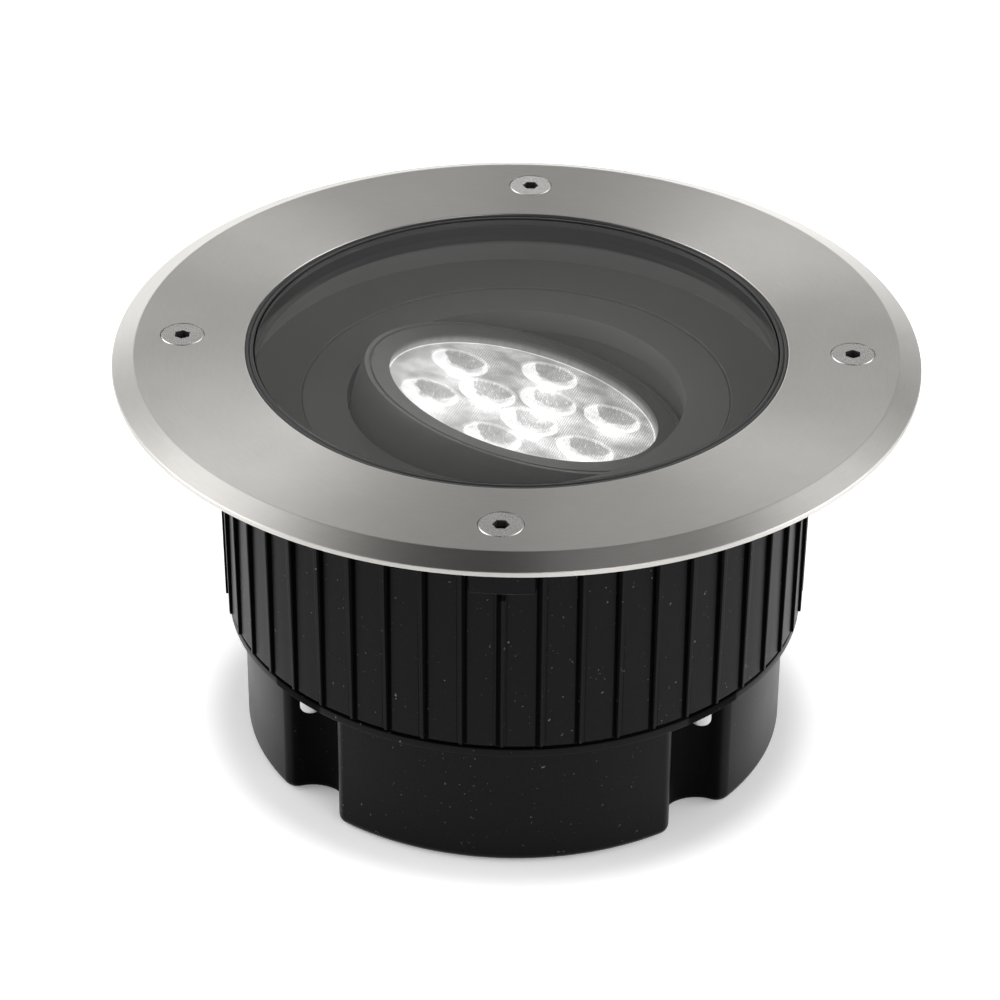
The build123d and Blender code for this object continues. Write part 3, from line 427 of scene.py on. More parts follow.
class Paint:
    """Builds one node tree."""

    def __init__(self, tree):
        self.tree = tree
        self.tree.nodes.clear()

    def node(self, kind, settings=None, values=None):
        """Adds a node with its settings, and its sockets' values or links, by name or in order."""
        node = self.tree.nodes.new(kind)
        for name, value in (settings or {}).items():
            setattr(node, name, value)
        if isinstance(values, dict):
            pairs = values.items()
        else:
            pairs = enumerate(values or ())
        for name, value in pairs:
            socket = node.inputs[name]
            if isinstance(value, Wire):
                self.tree.links.new(value.socket, socket)
            else:
                socket.default_value = value
        return Made(self, node)

    def maths(self, operation, *values):
        return self.node("ShaderNodeMath", {"operation": operation}, values)["Value"]

    def place(self):
        return self.node("ShaderNodeTexCoord")["Object"]

    def parts_of(self, vector):
        split = self.node("ShaderNodeSeparateXYZ", None, [vector])
        return split["X"], split["Y"], split["Z"]

    def vector(self, x, y, z):
        return self.node("ShaderNodeCombineXYZ", None, [x, y, z])["Vector"]

    def mapped(self, vector, location, rotation):
        values = {"Vector": vector, "Location": location, "Rotation": rotation}
        return self.node("ShaderNodeMapping", {"vector_type": "POINT"}, values)["Vector"]

    def noise(self, vector, scale, detail=2.0, roughness=0.5):
        values = {"Vector": vector, "Scale": scale, "Detail": detail, "Roughness": roughness}
        return self.node("ShaderNodeTexNoise", None, values)["Fac"]

    def blend(self, factor, first, second):
        """Mix of two colours."""
        values = {0: factor, 6: first, 7: second}
        return self.node("ShaderNodeMix", {"data_type": "RGBA"}, values)[2]

    def bump(self, height, distance, strength):
        values = {"Height": height, "Distance": distance, "Strength": strength}
        return self.node("ShaderNodeBump", None, values)["Normal"]


def grey(value):
    return (value, value, value, 1.0)


def away_from_line(x, y):
    """Distance of each place from the axis that x and y are measured from."""
    return (x * x + y * y).root()


def from_oval(x, y, middle, half):
    """How far out of an oval's middle each place is: 1 on the oval itself."""
    return away_from_line((x - middle[0]) / half[0], (y - middle[1]) / half[1])


def in_lamp(paint):
    """Coordinates of each place in the lamp's own frame."""
    to_lamp = lamp_place.inverted()
    return paint.parts_of(paint.mapped(paint.place(), to_lamp.to_translation(), to_lamp.to_euler()))


# ================================================================ finishes
def finish_named(name, build):
    made = bpy.data.materials.new(name)
    made.use_nodes = True
    paint = Paint(made.node_tree)
    paint.node("ShaderNodeOutputMaterial", None, {"Surface": build(paint)})
    return made


def principled(paint, **sockets):
    values = {name.replace("_", " ").title().replace("Ior", "IOR"): value for name, value in sockets.items()}
    return paint.node("ShaderNodeBsdfPrincipled", None, values)["BSDF"]


def turned_steel(paint):
    """Satin stainless, brushed round the ring's axis, so that highlights spread towards and away from it."""
    x, y, z = paint.parts_of(paint.place())
    radius = away_from_line(x, y)
    streaks = paint.noise(paint.vector(x / radius * 0.012, y / radius * 0.012, radius), 1900.0, 3.0, 0.6)
    cloud = paint.noise(paint.place(), 26.0, 3.0, 0.55)
    tone = streaks * 0.35 + cloud * 0.65
    colour = paint.blend(tone.step(0.25, 0.75), (0.555, 0.54, 0.515, 1), (0.63, 0.615, 0.59, 1))
    return principled(
        paint, base_color=colour, metallic=1.0, roughness=0.36 + tone * 0.06,
        anisotropic=0.9, anisotropic_rotation=0.25, normal=paint.bump(streaks, 0.004 * MM, 0.6),
    )


def screw_steel(paint):
    """Bright stainless with fine turning marks and a little staining."""
    cloud = paint.noise(paint.place(), 260.0, 3.0, 0.6)
    fine = paint.noise(paint.place(), 4200.0, 2.0, 0.5)
    colour = paint.blend(cloud, (0.56, 0.55, 0.53, 1), (0.74, 0.73, 0.71, 1))
    normal = paint.bump(fine, 0.004 * MM, 1.0)
    return principled(paint, base_color=colour, metallic=1.0, roughness=0.20 + fine * 0.14, normal=normal)


def socket_dark(paint):
    """Dull inside of a hexagon socket, painted dark as shade, with a dirty mottle."""
    dirt = paint.noise(paint.place(), 1800.0, 3.0, 0.6)
    # The near-black colour is painted shade in the socket.
    colour = paint.blend(dirt, (0.010, 0.010, 0.010, 1), (0.060, 0.058, 0.055, 1))
    return principled(paint, base_color=colour, metallic=0.3, roughness=0.55 + dirt * 0.2)


def black_plastic(paint, wear_and_painted_highlight=0.0):
    """Black moulded plastic: a fine spark-eroded grain, faint clouding and a few specks of dust.

    Its +X side is painted paler, as painted light from that side, and what is seen aslant has a sheen.
    """
    place = paint.place()
    grain = paint.noise(place, 1500.0, 4.0, 0.65)
    cloud = paint.noise(place, 60.0, 3.0, 0.5)
    dust = paint.noise(place, 900.0, 2.0, 0.5).step(0.70, 0.77) * cloud.step(0.35, 0.6)
    # Painted light: the +X side is made paler, as if lit from there.
    painted_light_right_side = paint.parts_of(place)[0].step(0.0, 70 * MM)
    tone = cloud * 0.25 + grain.step(0.45, 0.7) * 0.2 + painted_light_right_side * 0.6
    plain = paint.blend(tone, (0.0014, 0.0014, 0.0016, 1), (0.0105, 0.0096, 0.0098, 1))
    # Paler where rubbed, and where a highlight is painted.
    worn_and_highlit = paint.blend(wear_and_painted_highlight, plain, (0.050, 0.048, 0.047, 1))
    colour = paint.blend(dust * 0.7, worn_and_highlit, (0.26, 0.25, 0.24, 1))
    normal = paint.bump(grain, 0.05 * MM, 0.9)
    aslant = paint.node("ShaderNodeLayerWeight", None, {"Blend": 0.5})["Facing"]
    return principled(
        paint, base_color=colour, roughness=0.38 + cloud * 0.12, specular_ior_level=0.10, normal=normal,
        coat_weight=aslant.step(0.42, 0.78) * 0.4, coat_roughness=0.35,
    )


def with_painted_shade(paint, painted_shade, plastic):
    """Plastic that gives way to dull black where shade is painted."""
    # This dull black stands in for shade.
    dull = paint.node("ShaderNodeBsdfDiffuse", None, {"Color": grey(0.0020)})["BSDF"]
    return paint.node("ShaderNodeMixShader", None, {0: painted_shade, 1: plastic, 2: dull})["Shader"]


def ribbed_black(paint):
    """The casing's plastic, with painted shade along each rib and beside each pad, a painted highlight line
    along each rib, and rubbed, paler lower edges on the pads.

    The painted shade changes sides 2.2 mm to the left of the front, so that it suits the view from there.
    """
    x, y, z = paint.parts_of(paint.place())
    radius = away_from_line(x, y)
    turn = paint.maths("ARCTAN2", y, x) - FRONT
    side_of_the_front = x.step(-2.4 * MM, -2.0 * MM) * 2 - 1
    across = from_line(turn, rib_pitch) * radius * side_of_the_front
    from_pad = (from_line(turn, pad_pitch) * radius).size()
    on_pad = 1 - from_pad.step(pad_half_width - 0.3 * MM, pad_half_width)
    on_pad = on_pad * z.step(pad_low, pad_low + 0.2 * MM)
    # Painted shade: dark bands along each rib, and beside each pad.
    painted_shade = band(across, -1.6 * MM, 0.0) * 0.85 + band(across, 1.15 * MM, 1.6 * MM) * 0.7
    beside_pad = band(from_pad, pad_half_width - 0.1 * MM, pad_half_width + 0.6 * MM)
    painted_shade = painted_shade * (1 - on_pad) + beside_pad * z.step(pad_low, pad_low + 0.5 * MM) * 0.7
    pad_edge = band(z, pad_low - 0.2 * MM, pad_low + 0.4 * MM)
    under_pad = 1 - from_pad.step(pad_half_width - 0.3 * MM, pad_half_width + 0.2 * MM)
    # The pads' lower edges are paler, and a painted highlight runs in a thin line along each rib.
    wear_and_painted_highlight = pad_edge * under_pad * 0.5 + band(across, 0.0, 0.4 * MM) * (1 - on_pad) * 0.22
    return with_painted_shade(paint, painted_shade.least(1.0), black_plastic(paint, wear_and_painted_highlight))


def notched_black(paint):
    """The casing's plastic with painted shade deep in the notches between the lobes."""
    x, y, z = paint.parts_of(paint.place())
    middle = screw_ring / math.sqrt(2)
    aside, ahead = x.size() - middle, y.size() - middle
    # Painted shade deep in each notch between the lobes.
    painted_shade = 1 - away_from_line(aside, ahead).step(notch_radius + 0.4 * MM, notch_radius + 1.6 * MM)
    return with_painted_shade(paint, painted_shade * 0.75, black_plastic(paint))


def from_line(turn, pitch):
    """Signed angle of each place on the sleeve from the nearest rib or pad at that pitch."""
    return ((turn / pitch + 0.5).fraction() - 0.5) * pitch


def band(across, first, last):
    """1 between two distances and 0 outside them, soft at its ends."""
    return across.step(first, first + 0.3 * MM) * (1 - across.step(last - 0.3 * MM, last))


def black_rubber(paint):
    place = paint.place()
    grain = paint.noise(place, 1700.0, 3.0, 0.6)
    bloom = paint.noise(place, 120.0, 3.0, 0.6)
    colour = paint.blend(bloom, (0.010, 0.010, 0.010, 1), (0.030, 0.029, 0.028, 1))
    return principled(
        paint, base_color=colour, roughness=0.34 + bloom * 0.2, specular_ior_level=0.35,
        normal=paint.bump(grain, 0.02 * MM, 0.7),
    )


def satin_dark(low_colour, high_colour):
    """Dark satin paint or die-cast surface with a faint orange peel."""

    def build(paint):
        place = paint.place()
        peel = paint.noise(place, 900.0, 2.0, 0.5)
        cloud = paint.noise(place, 75.0, 3.0, 0.55)
        colour = paint.blend(cloud, (*low_colour, 1), (*high_colour, 1))
        return principled(
            paint, base_color=colour, roughness=0.34 + cloud * 0.12, normal=paint.bump(peel, 0.012 * MM, 0.8),
        )

    return build


def bezel_paint(paint):
    """Dark satin bezel, blacker on its upright wall than on its flare and floor, as painted shade."""
    place = paint.place()
    height = paint.parts_of(place)[2]
    peel = paint.noise(place, 900.0, 2.0, 0.5)
    cloud = paint.noise(place, 75.0, 3.0, 0.55)
    pale = paint.blend(cloud, (0.056, 0.0565, 0.053, 1), (0.073, 0.0735, 0.070, 1))
    # Painted shade: the upright wall is made blacker than the flare and floor.
    upright = height.step(bezel_wall_corner - 0.5 * MM, bezel_wall_corner + 0.5 * MM)
    colour = paint.blend(upright, pale, (0.012, 0.012, 0.012, 1))
    return principled(
        paint, base_color=colour, roughness=0.40 + cloud * 0.12, specular_ior_level=0.3,
        normal=paint.bump(peel, 0.012 * MM, 0.8),
    )


def lens_places():
    """Centres of the nine lenses in the lamp's own plane: six round three."""
    for ring_radius, count, start in (outer_lenses, inner_lenses):
        for index in range(count):
            angle = start + index * FULL_TURN / count
            yield ring_radius * math.cos(angle), ring_radius * math.sin(angle)


def lit_lenses(paint):
    """Clear lens plate, whose look is drawn as light that it gives off.

    Fine crossed hatching lies over the plate. Each lens has a grey cap, a bright crescent, a hot spot that
    spills over its near edge, and a thin line at its far edge.
    """
    x, y, z = in_lamp(paint)
    turn = math.cos(lamp_azimuth), math.sin(lamp_azimuth)
    right = x * turn[0] - y * turn[1]
    away = x * turn[1] + y * turn[0]
    flat = paint.vector(right, away, 0.0)
    ragged = (paint.noise(flat, 420.0, 3.0, 0.6) - 0.5) * 0.55
    glow, cap = 0.0, 0.0
    for lens_x, lens_y in lens_places():
        centre_right = lens_x * turn[0] - lens_y * turn[1]
        centre_away = lens_x * turn[1] + lens_y * turn[0]
        u = (right - centre_right) / lens_radius
        v = (away - centre_away) / lens_radius
        out = away_from_line(u, v)
        inside = 1 - out.step(0.93, 0.99)
        back_line = band(out, 0.90, 1.05) * v.step(0.0, 0.4)
        u, v = u + ragged * 0.6, v + ragged
        outside_cap = from_oval(u, v, middle=(0.22, 0.66), half=(0.74, 0.66)).step(0.90, 1.04)
        outside_core = from_oval(u, v, middle=(0.20, 0.10), half=(0.60, 0.62)).step(0.65, 1.15)
        hot = ((u + 0.08) * 2.6).bell() * ((v + 0.74) * 1.9).bell()
        spill = u.bell() * ((v + 1.15) * 1.2).bell()
        crescent = inside * outside_cap * (outside_core * 0.40 + 0.14)
        glow = crescent + hot * 1.45 + spill * 0.42 + back_line * 0.24 + glow
        cap = inside * (1 - outside_cap) + cap
    shake = paint.noise(flat, 420.0, 2.0, 0.6) * 0.5 * MM
    across_hatch = (right - away * 0.22 + shake).wave(0.62 * MM)
    along_hatch = (away + right * 0.30 + shake).wave(0.95 * MM)
    streak = paint.noise(paint.vector(right * 3.0, away * 0.8, 0.0), 520.0, 3.0, 0.65)
    patches = paint.noise(flat, 110.0, 3.0, 0.55).step(0.3, 0.7)
    edge_line = away_from_line(x, y).step(rim_opening - 0.5 * MM, rim_opening - 0.35 * MM)
    scribble = paint.noise(paint.vector(right * 2.2, away * 0.5, 0.0), 900.0, 3.0, 0.7).step(0.56, 0.66)
    ribbing = (across_hatch * 0.42 + along_hatch * 0.30) * (0.30 + patches)
    hatching = ribbing * (1 - cap * 0.5) + streak * (0.15 + cap * 0.16)
    plain = 0.035 + hatching + scribble * (patches + cap) * 0.24
    shine = plain * (1 - cap * 0.05) + glow * (0.48 + streak * 0.9 + scribble * 0.6) + edge_line * 0.45
    level = shine.least(1.2)
    return principled(
        paint, base_color=(0.16, 0.16, 0.16, 1), roughness=0.14 + streak * 0.1,
        emission_color=paint.vector(level, level, level), emission_strength=1.0,
        normal=paint.bump(across_hatch + along_hatch, 0.02 * MM, 0.5),
    )


def rim_bore(paint):
    """Upright wall inside the lamp's rim: dark above, and pale in streaks beside the plate, as painted light
    from the lit lenses.
    """
    x, y, z = in_lamp(paint)
    radius = away_from_line(x, y)
    streak = paint.noise(paint.vector(x / radius, y / radius, 0.0), 26.0, 3.0, 0.7)
    low_part = 1 - z.step(lens_top + 0.4 * MM, rim_height - 0.3 * MM)
    # Painted light: pale streaks low on the wall, beside the lit plate.
    painted_lens_light = low_part * (0.35 + streak * 0.9).least(1.0)
    colour = paint.blend(painted_lens_light, (0.055, 0.055, 0.054, 1), (0.50, 0.50, 0.49, 1))
    return principled(paint, base_color=colour, roughness=0.22 + streak * 0.2)


def clear_glass(paint):
    """Thick glass, which shadow and diffuse rays pass straight through, so that light gets under it."""
    path = paint.node("ShaderNodeLightPath")
    smear = paint.noise(paint.place(), 55.0, 3.0, 0.6).step(0.5, 0.8)
    bulk = principled(
        paint, base_color=(1.0, 1.0, 0.995, 1), roughness=0.004 + smear * 0.01,
        transmission_weight=1.0, ior=1.52,
    )
    open_way = paint.node("ShaderNodeBsdfTransparent", None, {"Color": (0.97, 0.975, 0.965, 1)})["BSDF"]
    factor = path["Is Shadow Ray"].most(path["Is Diffuse Ray"])
    return paint.node("ShaderNodeMixShader", None, {0: factor, 1: bulk, 2: open_way})["Shader"]


def plain_finish(first, second, rough, metal=0.0):
    """Two tones of one colour mixed by a soft noise, over a fine grain."""

    def build(paint):
        place = paint.place()
        cloud = paint.noise(place, 180.0, 3.0, 0.55)
        fine = paint.noise(place, 1500.0, 2.0, 0.5)
        colour = paint.blend(cloud, (*first, 1), (*second, 1))
        return principled(
            paint, base_color=colour, metallic=metal, roughness=rough + cloud * 0.12,
            normal=paint.bump(fine, 0.01 * MM, 0.8),
        )

    return build


trim_finish = finish_named("brushed_trim_steel", turned_steel)
screw_finish = finish_named("bright_screw_steel", screw_steel)
ribbed_finish = finish_named("ribbed_black_casing", ribbed_black)
notched_finish = finish_named("notched_black_casing", notched_black)
rubber_finish = finish_named("black_gasket_rubber", black_rubber)
glass_finish = finish_named("window_glass", clear_glass)
ground_finish = finish_named("ground_glass_edge", satin_dark((0.006, 0.006, 0.006), (0.012, 0.012, 0.012)))
socket_finish = finish_named("dull_screw_socket", socket_dark)
bezel_finish = finish_named("dark_bezel_paint", bezel_paint)
bore_finish = finish_named("lit_rim_bore", rim_bore)
shell_finish = finish_named("dark_shell_paint", satin_dark((0.072, 0.0725, 0.069), (0.096, 0.0965, 0.092)))
lens_finish = finish_named("lit_lenses", lit_lenses)
pale_head_finish = finish_named(
    "pale_screw_head", plain_finish((0.60, 0.60, 0.59), (0.78, 0.78, 0.77), 0.30, 0.25),
)
gland_finish = finish_named("gland_nylon", plain_finish((0.014, 0.014, 0.015), (0.030, 0.030, 0.031), 0.34))


def cover(finish, *nodes):
    """Gives one finish to CAD nodes that are shown as they are."""
    for node in nodes:
        slots = frame["nodes"][node].data.materials
        slots.clear()
        slots.append(finish)


cover(rubber_finish, "floor_grommet")
cover(gland_finish, "gland_lock_nut")
cover(screw_finish, "tilt_pins", "board_screws", "sink_screws", "driver_screws", "block_screws")
for name, look, nodes in (
    ("insert_brass", ((0.55, 0.38, 0.14), (0.72, 0.52, 0.22), 0.24, 1.0),
     ("screw_inserts", "terminal_screws")),
    ("slide_plastic", ((0.60, 0.59, 0.55), (0.72, 0.71, 0.68), 0.42), ("glide_ring", "tilt_washers")),
    ("chip_phosphor", ((0.78, 0.60, 0.10), (0.90, 0.74, 0.20), 0.20), ("led_chips",)),
    ("board_enamel", ((0.74, 0.75, 0.73), (0.84, 0.85, 0.83), 0.30), ("led_board",)),
    ("sink_aluminium", ((0.60, 0.61, 0.62), (0.74, 0.75, 0.76), 0.30, 1.0), ("heat_sink",)),
    ("lead_jacket", ((0.020, 0.020, 0.020), (0.040, 0.040, 0.040), 0.45), ("driver_lead",)),
    ("connector_nylon", ((0.76, 0.75, 0.70), (0.86, 0.85, 0.80), 0.35), ("lead_connector",)),
    ("driver_case", ((0.62, 0.63, 0.64), (0.74, 0.75, 0.75), 0.42), ("driver",)),
    ("block_ivory", ((0.70, 0.66, 0.54), (0.80, 0.76, 0.64), 0.38), ("terminal_block",)),
    ("lead_insulation", ((0.30, 0.18, 0.10), (0.38, 0.25, 0.14), 0.36), ("mains_leads",)),
):
    cover(finish_named(name, plain_finish(*look)), *nodes)


# ================================================================ trim ring and its screws
trim_outline = [
    (trim_opening, trim_low), (trim_radius, trim_low), (trim_radius, trim_top - trim_bevel_drop),
    (trim_radius - trim_bevel_width, trim_top), (trim_opening, trim_top),
]
ring_edge_round = 0.25 * MM


def countersink():
    """What is cut out of the ring for one screw, with the ring's face at z = 0."""
    grown, bore = screw_head_radius + fit_gap, 3.3 * MM
    above, rim, cone, through = 0.1 * MM, -0.4 * MM, -3.2 * MM, -5 * MM
    return turned(
        [(0, above), (grown, above), (grown, rim), (bore, cone), (bore, through), (0, through)],
        SMALL_STEPS, closed=False,
    )


ring_form = cut_from(
    soft_ring(trim_outline, ring_edge_round),
    shifted(round_the_axis(countersink, 4, screw_circle, FRONT), 0, 0, trim_top),
)
piece("brushed_trim_ring", ring_form, "body", [trim_finish], ["trim_ring"])


def trim_screw():
    """Countersunk screw that hangs from its face at z = 0."""
    head, shank = screw_head_radius, 3.0 * MM
    head_chamfer, end_chamfer = 0.28 * MM, 0.4 * MM
    length = 10 * MM
    return socket_screw([
        (head - head_chamfer, 0), (head, -head_chamfer), (head, -0.5 * MM),
        (shank, -3.3 * MM), (shank, end_chamfer - length), (shank - end_chamfer, -length),
    ], hex_width=4.0 * MM, socket_depth=2.3 * MM)


screws_form = shifted(round_the_axis(trim_screw, 4, screw_circle, FRONT), 0, 0, trim_top)
piece(
    "countersunk_trim_screws", screws_form, "body", [screw_finish, socket_finish],
    ["trim_screws"],
)

# ================================================================ glass, its gasket, the bezel
glass_form = turned([
    (0, glass_low), (glass_flange_radius - glass_foot_chamfer, glass_low),
    (glass_flange_radius, glass_low + glass_foot_chamfer), (glass_flange_radius, glass_shoulder),
    (glass_radius, glass_shoulder),
    (glass_radius, glass_top - glass_edge_chamfer), (glass_radius - glass_edge_chamfer, glass_top),
    (0, glass_top),
], closed=False)
for face in glass_form.faces:
    polished = from_axis(face.calc_center_median()) < glass_radius - 0.5 * MM
    face.material_index = 0 if polished else 1
piece("window_pane", glass_form, "body", [glass_finish, ground_finish], ["glass"])

groove = (glass_radius + trim_opening) / 2
groove_half = 0.3 * MM
groove_depth = 0.45 * MM
gasket_form = soft_ring([
    (glass_radius + fit_gap, gasket_top), (groove - groove_half, gasket_top),
    (groove, gasket_top - groove_depth), (groove + groove_half, gasket_top),
    (trim_opening - fit_gap, gasket_top),
    (trim_opening - fit_gap, trim_low), (gasket_radius, trim_low), (gasket_radius, gasket_low),
    (bezel_inner, gasket_low), (bezel_inner, glass_low), (glass_flange_radius + fit_gap, glass_low),
    (glass_flange_radius + fit_gap, glass_shoulder), (glass_radius + fit_gap, glass_shoulder),
], 0.2 * MM)
piece("window_gasket", gasket_form, "body", [rubber_finish], ["glass_gasket"])

bezel_form = soft_ring([
    (bezel_inner, gasket_low), (gasket_radius, gasket_low), (gasket_radius, bezel_lip_low),
    (bezel_outer, bezel_lip_low), (bezel_outer, bezel_floor_low),
    (bezel_hole, bezel_floor_low), (bezel_hole, bezel_floor_top),
    (bezel_corner, bezel_floor_top), (bezel_inner, bezel_wall_corner),
], 0.3 * MM)
piece("dark_bezel", bezel_form, "body", [bezel_finish], ["bezel"])


# ================================================================ lamp: its shell
def shell_form():
    """Ball-shaped shell of the lamp, about its own axis, with the groove in its rim."""
    bm = bmesh.new()
    skirt = bm.verts.new((skirt_radius, 0, -skirt_depth))
    sweep = math.atan2(skirt_depth, skirt_radius) + math.atan2(rim_height, rim_radius)
    rim_edge = curved(bm, skirt, (0, 0, 0), sweep, 24, (0, -1, 0))
    last = straight(bm, rim_edge, [
        (groove_outer, rim_height), (groove_outer, groove_floor),
        (groove_inner, groove_floor), (groove_inner, rim_height),
        (rim_opening, rim_height), (rim_opening, lens_top), (plate_seat, lens_top),
        (plate_seat, lens_low), (shell_bore, lens_low), (shell_bore, -skirt_depth),
    ])
    bm.edges.new((last, skirt))
    spun(bm)
    soften(bm, 0.12 * MM)
    for face in bm.faces:
        centre = face.calc_center_median()
        on_bore = from_axis(centre) < rim_opening + 0.05 * MM and centre.z > lens_top
        face.material_index = 1 if on_bore else 0
    return moved(bm, lamp_place)


piece("lamp_shell", shell_form(), "lamp", [shell_finish, bore_finish], ["module_shell"])


# ================================================================ lamp: its lens plate
def lens_dish():
    """What is cut out of the plate for one lens, about the lens's own axis."""
    bm = bmesh.new()
    reach = (lens_radius ** 2 + dish_depth ** 2) / (2 * dish_depth)
    start = bm.verts.new((0, 0, -dish_depth))
    last = curved(bm, start, (0, 0, reach - dish_depth), math.asin(lens_radius / reach), 10, (0, -1, 0))
    straight(bm, last, [(lens_radius, 1 * MM), (0, 1 * MM)])
    return spun(bm, SMALL_STEPS)


def lens_foot():
    """Solid body of one lens under the plate, narrowing towards its chip."""
    foot_low = -8.2 * MM
    return turned([(0, foot_low), (4.5 * MM, foot_low), (lens_radius, lens_low), (0, lens_low)], 48, False)


def plate_leg():
    leg_radius, leg_low = 1.4 * MM, -9.0 * MM
    return turned([(0, leg_low), (leg_radius, leg_low), (leg_radius, lens_low), (0, lens_low)], 24, False)


def lens_plate_form():
    plate = turned([
        (0, lens_low), (plate_radius, lens_low), (plate_radius, lens_top), (0, lens_top),
    ], closed=False)
    dishes = joined([shifted(lens_dish(), *place, lens_top) for place in lens_places()])
    plate = cut_from(plate, dishes)
    feet = [shifted(lens_foot(), *place, 0) for place in lens_places()]
    legs = round_the_axis(plate_leg, 3, shell_bore - 4 * MM, math.radians(74.7))
    return moved(joined([plate, *feet, legs]), lamp_place)


piece("nine_lens_plate", lens_plate_form(), "lamp", [lens_finish], ["lens_plate"])


# ================================================================ turntable
def bowl_wall():
    """Curved wall behind the side where the lamp's rim is sunk. The CAD has no such wall."""
    bm = bmesh.new()
    inner = turntable_hole + 1.3 * MM
    outer = inner + 1.2 * MM
    reach_round = math.radians(120)
    lowest, highest = math.radians(-18.8), math.radians(4.2)
    start = bm.verts.new((inner * math.cos(lowest), 0, inner * math.sin(lowest)))
    top = curved(bm, start, (0, 0, 0), highest - lowest, 12, (0, -1, 0))
    top = straight(bm, top, [(outer * math.cos(highest), outer * math.sin(highest))])
    bottom = curved(bm, top, (0, 0, 0), lowest - highest, 12, (0, -1, 0))
    bm.edges.new((bottom, start))
    bmesh.ops.contextual_create(bm, geom=list(bm.edges))
    bmesh.ops.spin(
        bm, geom=list(bm.verts) + list(bm.edges) + list(bm.faces), axis=(0, 0, 1), cent=(0, 0, 0),
        angle=reach_round, steps=60,
    )
    bmesh.ops.recalc_face_normals(bm, faces=bm.faces)
    facing = lamp_place.to_3x3() @ Vector((0, 0, 1))
    sunk_side = math.atan2(facing.y, facing.x)
    turn = Matrix.Rotation(sunk_side - reach_round / 2, 4, "Z")
    return moved(bm, Matrix.Translation(lamp_place.to_translation()) @ turn)


turntable_form = joined([eased("turntable", 0.15 * MM), bowl_wall()])
piece("lamp_turntable", turntable_form, "turntable", [shell_finish], ["turntable"])


# ================================================================ housing: ribbed sleeve and flange
def up_sleeve(at_foot, at_flange, height):
    """A measure that grows evenly from the sleeve's foot to its flange, at a height between them."""
    return at_foot + (at_flange - at_foot) * (height - sleeve_low) / (flange_low - sleeve_low)


def sleeve_radius(height):
    return up_sleeve(sleeve_bottom_radius, sleeve_top_radius, height)


def housing_form():
    """Sleeve with its flange, ribs and pads, and with the bosses and pillars that screws go into."""
    outline = [
        (sleeve_bottom_radius, sleeve_low), (sleeve_radius(pad_rib_top), pad_rib_top),
        (sleeve_radius(pad_low), pad_low), (sleeve_top_radius, flange_low),
        (housing_radius, flange_low), (housing_radius, housing_top), (seat_radius, housing_top),
        (seat_radius, bezel_lip_low), (bore_radius, bezel_lip_low), (bore_radius, shelf_top),
        (shelf_inner, shelf_top), (shelf_inner, shelf_low), (bore_radius, shelf_low),
        (bore_radius, floor_top), (grommet_hole, floor_top), (grommet_hole, sleeve_low),
    ]
    steps = rib_count * steps_per_rib
    bm = turned(outline, steps)
    moved(bm, Matrix.Rotation(FRONT + math.pi / steps, 4, "Z"))
    wall = [
        face for face in bm.faces
        if sleeve_low < face.calc_center_median().z < flange_low
        and from_axis(face.calc_center_median()) > sleeve_bottom_radius - 0.5 * MM
    ]
    ribs, pads = [], []
    for face in wall:
        centre = face.calc_center_median()
        from_rib = abs(from_nearest(centre, rib_pitch))
        from_pad = abs(from_nearest(centre, pad_pitch))
        if from_pad < pad_reach and centre.z > pad_low:
            pads.append(face)
        elif from_rib < rib_pitch / 8 and (from_pad > rib_pitch / 2 or centre.z < pad_rib_top):
            ribs.append(face)
    for vert in {vert for face in ribs for vert in face.verts}:
        slide_round(vert, rib_pitch, up_sleeve(rib_width_low, rib_width_high, vert.co.z) / 2)
    for vert in {vert for face in pads for vert in face.verts}:
        if abs(from_nearest(vert.co, pad_pitch)) > pad_reach:
            slide_round(vert, pad_pitch, pad_half_width)
    for vert in lifted(bm, ribs):
        under_pad = abs(vert.co.z - pad_rib_top) < 0.01 * MM
        stand_out(vert, up_sleeve(rib_height_low, rib_height_high, vert.co.z))
        vert.co.z -= pad_rib_gap if under_pad else 0
    for vert in lifted(bm, pads):
        stand_out(vert, pad_radius - from_axis(vert.co))
    edges = [
        edge for edge in sharper(bm, SHARP)
        if min(from_axis(vert.co) for vert in edge.verts) > sleeve_bottom_radius - 0.1 * MM
    ]
    soften(bm, 0.2 * MM, 2, edges)
    bosses = round_the_axis(insert_boss, 4, screw_circle, FRONT)
    pillars = round_the_axis(screw_pillar, 4, screw_ring, math.pi / 4)
    return joined([bm, bosses, pillars])


def insert_boss():
    """Boss under the flange for a threaded insert."""
    radius, chamfer = 6.5 * MM, 0.4 * MM
    foot = flange_low - 1.83 * MM
    head = flange_low + 0.2 * MM
    return turned(
        [(0, foot), (radius - chamfer, foot), (radius, foot + chamfer), (radius, head), (0, head)],
        SMALL_STEPS, closed=False,
    )


def screw_pillar():
    """Pillar on the floor that a flange screw is screwed into from below."""
    bore, radius = 1.55 * MM, 4.5 * MM
    foot = sleeve_low + 0.1 * MM
    head = floor_top + 8.5 * MM
    return turned([(bore, foot), (radius, foot), (radius, head), (bore, head)], 48)


def lifted(bm, faces):
    """Extrudes faces, takes the old ones out and gives the new vertices."""
    made = bmesh.ops.extrude_face_region(bm, geom=faces)["geom"]
    left = [face for face in faces if face.is_valid]
    bmesh.ops.delete(bm, geom=left, context="FACES_ONLY")
    return verts_in(made)


def from_nearest(point, pitch):
    """Signed angle of a point from the nearest of the places at that pitch, counted from the front."""
    from_front = math.atan2(point.y, point.x) - FRONT
    return from_front - round(from_front / pitch) * pitch


def stand_out(vert, distance):
    outwards = Vector((vert.co.x, vert.co.y, 0)).normalized()
    vert.co += outwards * distance


def slide_round(vert, pitch, half_width):
    """Slides a vertex of the wall round to the side of its rib or pad."""
    angle = from_nearest(vert.co, pitch)
    by = math.copysign(half_width / from_axis(vert.co), angle) - angle
    vert.co = Matrix.Rotation(by, 3, "Z") @ vert.co


piece("ribbed_sleeve", housing_form(), "body", [ribbed_finish], ["housing"])


